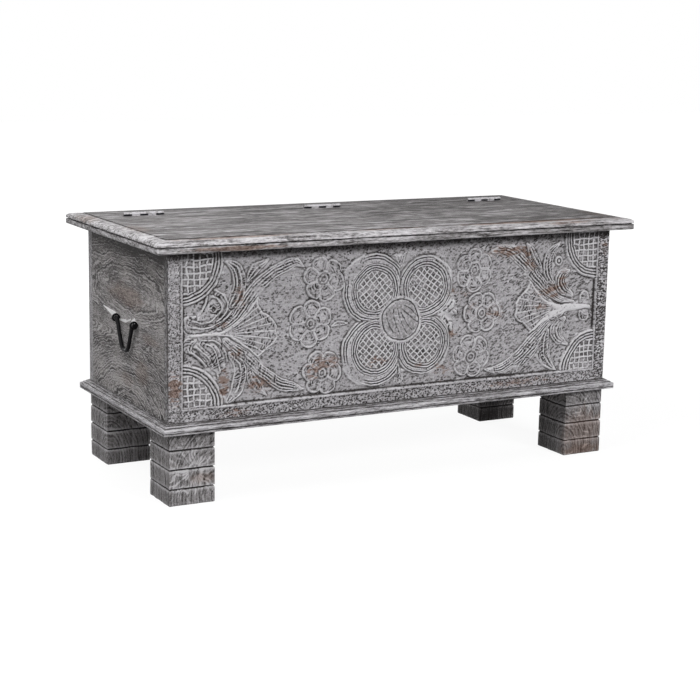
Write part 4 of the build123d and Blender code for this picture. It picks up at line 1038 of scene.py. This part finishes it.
given = geometry_tree("moulding_brads", BRAD)
tree = given["Geometry"].tree
stubs = []
for radius, depth in (("Head Radius", "Head Thickness"), ("Shank Radius", "Length")):
    stub = flow("GeometryNodeMeshCylinder", {
        "Vertices": 16, "Radius": given[radius], "Depth": given[depth]}, "Mesh")
    below = flow("CombineXYZ", {2: given[depth] * -0.5})
    stubs.append(flow("GeometryNodeTransform", {"Geometry": stub, "Translation": below}))
brad = flow("GeometryNodeJoinGeometry", {0: stubs}, tree=tree)
facing = flow("GeometryNodeInputNamedAttribute", {"Name": "outward"}, tree=tree, data_type="FLOAT_VECTOR")
turned = flow("FunctionNodeAlignRotationToVector", {"Vector": facing}, axis="Z")
brads = flow("GeometryNodeInstanceOnPoints", {
    "Points": given["Geometry"], "Instance": brad, "Rotation": turned})
nails = grown(brads, placed("nail_spots", nail_mesh), dull_steel, BRAD)
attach(nails, "carcass")
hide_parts("moulding_nails")

# ---------------------------------------------------------------- feet
# Solid blocks, grain upright, with three saw kerfs run round them; the band under each kerf is eased with
# a chisel, which also dressed the faces that show.
FOOT_KERFS = (28.8, 62.0, 95.2)          # mm above the floor
KERF_HALF, KERF_DEEP, KERF_EASE = 0.8, 4.0, 1.7
FOOT_CELL = 1.2              # mm between neighbouring points
FOOT_CORNER = 2.2            # radius of the eased corners
CHISEL_MARKS = 700           # on each foot
DRESSED_FANS = {             # fans of chisel marks: degrees between two, where they meet (x, z), their reach
    "foot_front_left": (13.0, 4.0, 58.0, 9.0, 58.0), "foot_front_right": (24.0, 34.0, 30.0, 20.0, 88.0),
}


def block_outline(width, depth, corner, cell):
    """Points round a rounded rectangle, with the outward direction at each, from the inner rear corner on."""
    half_w, half_d = width / 2 - corner, depth / 2 - corner
    middles = ((half_w, half_d), (-half_w, half_d), (-half_w, -half_d), (half_w, -half_d))
    points = [(cx + corner * cos(a), cy + corner * sin(a), cos(a), sin(a))
              for turn, (cx, cy) in zip((45, 135, 225, 315), middles)
              for a in np.radians((turn - 45, turn - 15, turn + 15, turn + 45))]
    ring = np.array(points + points[:1])
    run = np.concatenate([[0], np.cumsum(np.hypot(*np.diff(ring[:, :2], axis=0).T))])
    spots = np.linspace(0, run[-1], int(run[-1] / cell) + 1)[:-1]
    even = np.stack([np.interp(spots, run, ring[:, i]) for i in range(4)], -1)
    even[:, 2:] /= np.hypot(even[:, 2], even[:, 3])[:, None]
    return even, spots


foot_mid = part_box("foot_front_right")[0].lerp(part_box("foot_front_right")[1], 0.5) / MM


def foot_figure(axes):
    """Pointed arches on each face of a foot, as flat-sawn wood shows."""
    off = abs(axes[0]) - foot_mid.x + (abs(axes[1]) + foot_mid.y)
    return norm(together(off * 1.25, (axes[2] - 8.0) * 0.8)), 1.0


def right_feet_painted_shade(axes, scaled):
    """Painted shade: the right feet are darkened toward the rear, under the chest."""
    rear = step_up(axes[1], -186.0, -110.0, 0.40) + step_up(axes[1], -60.0, 60.0, 0.15)
    return step_up(axes[0], 300.0, 340.0) * rear, None


FOOT_WEAR = (((400, -190, 40), (62, 30, 62), 0.6), ((400, -190, 8), (60, 30, 18), 0.8),
             ((-380, -190, 44), (34, 30, 12), 0.5))
foot_wood = limed_wood("foot_limed_wood", "ZXY", ring=6.5, figure=0.55, carved=True, streak=0.5, width=1.4,
                       length=3, broadly=0.4, brown=0.2, tone=-0.08, warmth=0.3, rings=foot_figure,
                       marks=right_feet_painted_shade, seed=83.0, patches=FOOT_WEAR)
for number, name in enumerate(("foot_front_left", "foot_front_right", "foot_rear_left", "foot_rear_right")):
    foot_low, foot_high = [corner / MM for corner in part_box(name)]
    outline, run = block_outline(foot_high.x - foot_low.x, foot_high.y - foot_low.y, FOOT_CORNER, FOOT_CELL)
    levels = np.linspace(foot_low.z, foot_high.z, int((foot_high.z - foot_low.z) / FOOT_CELL) + 1)
    size = (len(run), len(levels))
    around, level = np.meshgrid(run, levels, indexing="ij")
    wander = level + 0.25 * cloud(size, (26, 60), 100 + number)
    cut_in = 0.35 * (cloud(size, (5, 30), 110 + number) + 1)
    painted_kerf_highlight = np.zeros(size)
    for kerf in FOOT_KERFS:
        off = wander - kerf
        kerf_cut = KERF_DEEP * ease((KERF_HALF + 0.5 - np.abs(off)) / 0.8)
        eased = (KERF_EASE + 0.5 * cloud(size, (12, 200), 120 + number)) * ease((off + 3.6) / 3.2) * (off < 0)
        # a painted highlight along the eased edge just under each kerf
        painted_kerf_highlight = np.maximum(painted_kerf_highlight, rib(off + 2.4, 0.9))
        cut_in = np.maximum(cut_in, np.maximum(kerf_cut, np.clip(eased, 0, None)))
    dressed = np.zeros(size)
    for _ in range(CHISEL_MARKS):
        u, v, lean = chance.uniform(0, run[-1]), chance.uniform(0, levels[-1]), chance.normal(0, 0.5)
        near = slice(*np.searchsorted(run, (u - 5, u + 5))), slice(*np.searchsorted(levels, (v - 6, v + 6)))
        mark = rib(around[near] - u - lean * (level[near] - v), 0.9) * ease((5 - np.abs(level[near] - v)) / 3)
        strength = chance.uniform(0.2, 0.7) * (0.35 + 0.65 * (v > FOOT_KERFS[1]))
        dressed[near] = np.maximum(dressed[near], strength * mark)
    fanned = np.zeros(size)
    if name in DRESSED_FANS:
        spread, apex_x, apex_z, near_mm, far_mm = DRESSED_FANS[name]
        along, rise = outline[:, None, 0] - apex_x + 0 * level, wander - apex_z
        reach = np.hypot(along, rise)
        ray = np.degrees(np.arctan2(rise, along)) + 6 * cloud(size, (9, 9), 140 + number)
        fanned = rib(every(ray, spread) * reach * pi / 180, 1.3)
        fanned = fanned * ease((reach - near_mm) / 4) * ease((far_mm - reach) / 6)
        fanned *= (outline[:, None, 3] < -0.9) * np.clip(0.6 + 0.7 * cloud(size, (8, 8), 150 + number), 0, 1)
    cut_in += 0.4 * dressed + 0.3 * fanned + 0.8 * ease((1.5 - level) / 1.5)
    cut_in = np.clip(cut_in, 0, KERF_DEEP + 0.6)
    middle = (foot_low + foot_high) / 2
    points = np.stack([
        middle.x + outline[:, None, 0] - outline[:, None, 2] * cut_in,
        middle.y + outline[:, None, 1] - outline[:, None, 3] * cut_in,
        level,
    ], -1).reshape(-1, 3) * MM
    index = np.arange(len(points)).reshape(size)
    after = np.roll(index, -1, axis=0)
    quads = np.stack([index[:, :-1], after[:, :-1], after[:, 1:], index[:, 1:]], -1).reshape(-1, 4)
    foot = closed_mesh(f"dressed_{name}", points, quads, [index[::-1, 0], index[:, -1]])
    sunk = cut_in - soften(cut_in, 2)
    limed = 2.2 * fanned + 0.7 * painted_kerf_highlight * np.clip(0.6 + 0.6 * cloud(size, (6, 200), 130 + number), 0, 1)
    # the kerfs and sunk dressing are darkened as painted shade, the eased crests lightened as a painted
    # highlight
    give(foot, cavity=np.clip(sunk, 0, 1) + 0.6 * ease(cut_in - 2.5), crest=np.clip(-sunk, 0, 1),
         rubbed=np.zeros(size), nicks=0.4 * np.clip(dressed, 0, 1), lime=limed)
    foot.data.materials.append(foot_wood)
    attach(foot, "carcass")
    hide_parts(name)

# ---------------------------------------------------------------- top: rear rail, lid planks and battens
# One slab sawn in two along its length. A kerf is run round its edge with a broad rounding above it that
# ends in a small step; hands have worn the front lip back to brown.
(slab_left, slab_front, slab_foot), (slab_right, _, _) = [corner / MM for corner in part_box("lid_plank_1")]
slab_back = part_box("top_rear_rail")[1].y / MM
EDGE_KERF = 11.0             # middle of the kerf above the slab's underside
LIP = 8.0                    # and of the worn lip below it
SHOULDER = 26.0              # slab's edge to the step where the flat begins
STREAKS = (                  # dark smudges on the lid: middle, half sizes, strength
    ((142, 14), 26, 9, 0.8), ((87, 10), 60, 7, 0.45), ((232, -16), 70, 6, 0.35), ((-150, 40), 80, 7, 0.4),
    ((150, 90), 90, 6, 0.4),
)


def slab_marks_and_painted_shade(axes, scaled):
    """Painted shade in the kerf and along the shoulder, dark pits and smudges, lime on the rounding and on
    the lower edge; the flat darkens and the rounding's lime thins towards the right end.
    """
    x, y, z = axes
    inward = smaller(smaller(x - slab_left, slab_right - x), smaller(y - slab_front, slab_back - y))
    # painted shade in the kerf and on the step of the shoulder
    kerf = rib_mask(z, slab_foot + EDGE_KERF, 1.3) * step_up(6.0 - inward, 0.0, 1.0)
    shoulder = rib_mask(inward, SHOULDER - 0.6, 1.0) * 0.55
    edge = step_up(SHOULDER - inward, 0.0, 3.0)
    speckle = noise(stretched(axes, (9.0, 6.0, 2.6), 40.0), 4.0, 0.75)
    pits = edge * step_up(speckle, 0.44, 0.34, 0.4)
    rounding = edge * (step_up(speckle, 0.44, 0.58, 0.65) + 0.42) * (1.0 - step_up(x, -120.0, 440.0, 0.35))
    dark = larger(kerf, shoulder, pits)
    for (at_x, at_y), half_x, half_y, strength in STREAKS:
        off = norm(together((x - at_x) / half_x, (y - at_y) / half_y)) + speckle * 1.2 - 0.6
        dark = larger(dark, step_up(off, 1.0, 0.2, strength))
    dark += step_up(x, -120.0, 440.0, 0.22) * step_up(inward, SHOULDER, SHOULDER + 2)
    return dark, larger(rounding, rib_mask(z, slab_foot + LIP, 1.6) * 0.4)


TOP_WEAR = (                 # rubbed places: centre, half sizes, strength
    ((-330, -222, 434), (110, 12, 5), 0.95), ((-330, -203, 449), (140, 8, 4), 0.75),
    ((260, -200, 450), (190, 8, 4), 0.8), ((330, -214, 446), (90, 7, 4), 0.8),
    ((-40, -200, 450), (90, 6, 3), 0.6), ((440, -150, 448), (30, 70, 5), 0.5),
    ((-460, 130, 446), (22, 60, 6), 0.7), ((-440, -60, 449), (20, 60, 5), 0.5),
    ((-140, 205, 451), (120, 14, 6), 0.5),
)
for name, heart_y, tone, seed in (("lid_plank_1", -150, -0.15, 91.0), ("lid_plank_2", -40, -0.18, 97.0),
                                  ("lid_plank_3", 70, -0.21, 103.0), ("top_rear_rail", 190, -0.28, 109.0)):
    plank = limed_wood(f"{name}_limed_wood", "XYZ", heart=(heart_y, 300), ring=14.0, figure=0.55, streak=1.1,
                       width=5.4, length=24, broadly=0.8, tone=tone, brown=0.12, warmth=0.25,
                       marks=slab_marks_and_painted_shade, patches=TOP_WEAR, seed=seed)
    finish(plank, name)
finish(bare_wood, "lid_batten_left", "lid_batten_right")

# ---------------------------------------------------------------- hinges and screws
# Three steel butt hinges let into the saw cut; the lime wash ran into them and dried white. The lower
# front of the rail's knuckles is painted near-black, a painted shadow in the gap under the lid's edge.
limed_steel = metal("limed_steel", (0.50, 0.49, 0.51, 1), (0.22, 0.21, 0.21, 1), 0.65, 0.0, 5.0, gloss=0.2)
knuckle = limed_steel.copy()
knuckle.name = "limed_steel_knuckle"
tree = knuckle.node_tree
skin = tree.nodes["Principled BSDF"].inputs["Base Color"]
pin_line = sum(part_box("hinge_left_pin"), Vector()) / 2
_, depth, level = apart(Wire(tree.nodes["Texture Coordinate"].outputs["Object"]))
# painted shadow: the rail knuckles darkened in front of and below the pin
shadowed = (step_up(depth, pin_line.y, pin_line.y - 0.6 * MM)
            * step_up(level, pin_line.z + 0.4 * MM, pin_line.z - 0.4 * MM))
darkened = tint(shadowed, Wire(skin.links[0].from_socket), (0.012, 0.012, 0.016, 1))
tree.links.new(darkened.socket, skin)
for place in ("left", "middle", "right"):
    finish(knuckle, f"hinge_{place}_rail_leaf")
    finish(limed_steel, f"hinge_{place}_lid_leaf")
    finish(dull_steel, f"hinge_{place}_pin")
finish(dull_steel, "rail_hinge_screws", "lid_hinge_screws", "foot_screws", "batten_screws")

# ---------------------------------------------------------------- side handles
# Forged iron bails, blackened, each hanging in two split eyes driven through the side and clenched. The
# rod is bent hot, hammered all along, and upset into a button at each end.
BAIL = {"Rod Radius": 3.8 * MM, "Hammer Depth": 0.55 * MM, "Hammer Size": 6.5 * MM, "Button Radius": 4.3 * MM,
        "Button Thickness": 1.3 * MM}
CAD_BUTTON = 5.1             # radius of the plain button it stands in for
BAIL_LINE = (                # the rod's middle line: y and z from the pivot, and the radius of each bend
    (-50.05, 0, 0), (-36.5, 0, 5), (-13, -50, 14), (13, -50, 14), (36.5, 0, 5), (50.05, 0, 0))
black_iron = metal("black_iron", (0.004, 0.004, 0.005, 1), (0.012, 0.011, 0.011, 1), 0.5, 0.0, 4.0, gloss=0.1)
for side in ("left", "right"):
    finish(black_iron, f"handle_{side}_eye_front", f"handle_{side}_eye_rear")
    bail_low, bail_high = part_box(f"handle_{side}_bail")
    pivot = (bail_low + bail_high) / 2
    pivot.z = bail_high.z - CAD_BUTTON * MM
    line = bpy.data.curves.new(f"bail_line_{side}", "CURVE")
    line.dimensions = "3D"
    run = line.splines.new("POLY")
    run.points.add(len(BAIL_LINE) - 1)
    for point, (y, z, bend) in zip(run.points, BAIL_LINE):
        point.co = (*(pivot + Vector((0, y, z)) * MM), 1)
        point.radius = bend * MM

    given = geometry_tree(f"forged_bail_{side}", BAIL)
    tree = given["Geometry"].tree
    bend = flow("GeometryNodeInputRadius", tree=tree)
    bent = flow("GeometryNodeFilletCurve", {
        "Curve": given["Geometry"], "Count": 10, "Radius": bend}, mode="POLY")
    bent = flow("GeometryNodeResampleCurve", {"Curve": bent, "Length": 1.2 * MM}, mode="LENGTH")
    bent = flow("GeometryNodeSetCurveRadius", {"Curve": bent, "Radius": 1.0})
    rim = flow("GeometryNodeCurvePrimitiveCircle", {"Resolution": 20, "Radius": given["Rod Radius"]})
    rod = flow("GeometryNodeCurveToMesh", {"Curve": bent, "Profile Curve": rim, "Fill Caps": True})
    scale = maths("DIVIDE", 1.0, given["Hammer Size"])
    scaled = vectors("SCALE", flow("GeometryNodeInputPosition", tree=tree), Scale=scale)
    dent = step_up(noise(scaled, 1.0), 0.38, 0.68) * (given["Hammer Depth"] * -1.0)
    sunk = vectors("SCALE", flow("GeometryNodeInputNormal", tree=tree), Scale=dent)
    rod = flow("GeometryNodeSetPosition", {"Geometry": rod, "Offset": sunk})
    button = flow("GeometryNodeMeshCylinder", {
        "Vertices": 20, "Radius": given["Button Radius"], "Depth": given["Button Thickness"]}, "Mesh")
    buttons = flow("GeometryNodeInstanceOnPoints", {
        "Points": given["Geometry"], "Selection": flow("GeometryNodeCurveEndpointSelection", tree=tree),
        "Instance": button, "Rotation": (pi / 2, 0, 0)})
    both = flow("GeometryNodeJoinGeometry", {0: [rod, buttons]}, tree=tree)
    bail = grown(both, placed(line.name, line), black_iron, BAIL)
    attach(bail, f"{side}_bail")
    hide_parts(f"handle_{side}_bail")

# ---------------------------------------------------------------- the studio
# A white floor under five soft boxes: one above the left side, the strongest in front, a weak one low at
# the left, one behind for the back and one for the right side. The floor is a little whiter further out.
FLOOR_HALF = 9.0
floor_mesh = bpy.data.meshes.new("studio_floor")
floor_mesh.from_pydata([(x, y, 0) for x, y in ((-1, -1), (1, -1), (1, 1), (-1, 1))], [], [(0, 1, 2, 3)])
floor_mesh.transform(Matrix.Scale(FLOOR_HALF, 4))
placed("studio_floor", floor_mesh)


def seen(tree):
    """1 for what the camera sees, straight or in a gloss, and 0 for what only lights the chest."""
    rays = ("Is Camera Ray", "Is Glossy Ray", "Is Transmission Ray")
    return larger(*[flow("LightPath", out=ray, tree=tree) for ray in rays])


floor_paint, paper, place = blank("studio_white")
feed(paper, {"Base Color": (0.34, 0.34, 0.34, 1), "Roughness": 0.9})
tree = place.tree
glow = flow("Emission", {"Color": (1, 1, 1, 1), "Strength": step_up(norm(place), 0.7, 2.2, 0.13) + 1.215})
mixed = flow("MixShader", {0: seen(tree) * 0.76, 1: Wire(paper.outputs[0]), 2: glow})
feed(tree.nodes["Material Output"], {"Surface": mixed})
floor_mesh.materials.append(floor_paint)

world = bpy.data.worlds.new("studio_air")
bpy.context.scene.world = world
world.use_nodes = True
AIR = 0.10                   # how much light comes from all round
tree = world.node_tree
feed(tree.nodes["Background"], {"Color": (1, 1, 1, 1), "Strength": seen(tree) * (1 - AIR) + AIR})

CHEST_MIDDLE = (0, 0, 0.25)
for name, place, size, power in (
    ("overhead", (-1.5, -0.6, 2.0), 1.1, 34), ("front", (1.2, -4.2, 2.5), 1.0, 172),
    ("left_fill", (-3.2, -0.9, 1.2), 1.5, 7), ("rear", (-0.2, 3.6, 1.1), 1.6, 85),
    ("right_fill", (4.2, 0.9, 1.0), 1.6, 60),
):
    soft_box = bpy.data.lights.new(name, "AREA")
    soft_box.shape, soft_box.size, soft_box.energy = "SQUARE", size, power
    lamp = placed(name, soft_box)
    lamp.location = place
    lamp.rotation_mode = "QUATERNION"
    lamp.rotation_quaternion = (Vector(CHEST_MIDDLE) - Vector(place)).to_track_quat("-Z", "Y")

# the camera looks down on the front from the left
TURN, TILT, ROLL = radians(28.57), radians(11.369), radians(1.053)
CAMERA_PLACE = (-1.4669, -2.6914, 0.8134)
FOCAL_PIXELS, PICTURE_PIXELS = 1675.18, 700
ahead = Vector((sin(TURN) * cos(TILT), cos(TURN) * cos(TILT), -sin(TILT)))
level_right = Vector((cos(TURN), -sin(TURN), 0))
level_up = level_right.cross(ahead)
right = level_right * cos(ROLL) + level_up * sin(ROLL)
up = level_up * cos(ROLL) - level_right * sin(ROLL)
camera = placed("camera", bpy.data.cameras.new("camera"))
tripod = Matrix((right, up, -ahead)).transposed().to_4x4()
tripod.translation = CAMERA_PLACE
camera.matrix_world = tripod
camera.data.sensor_width = 36
camera.data.lens = FOCAL_PIXELS / PICTURE_PIXELS * camera.data.sensor_width
bpy.context.scene.camera = camera
bpy.context.scene.view_settings.view_transform = "Standard"
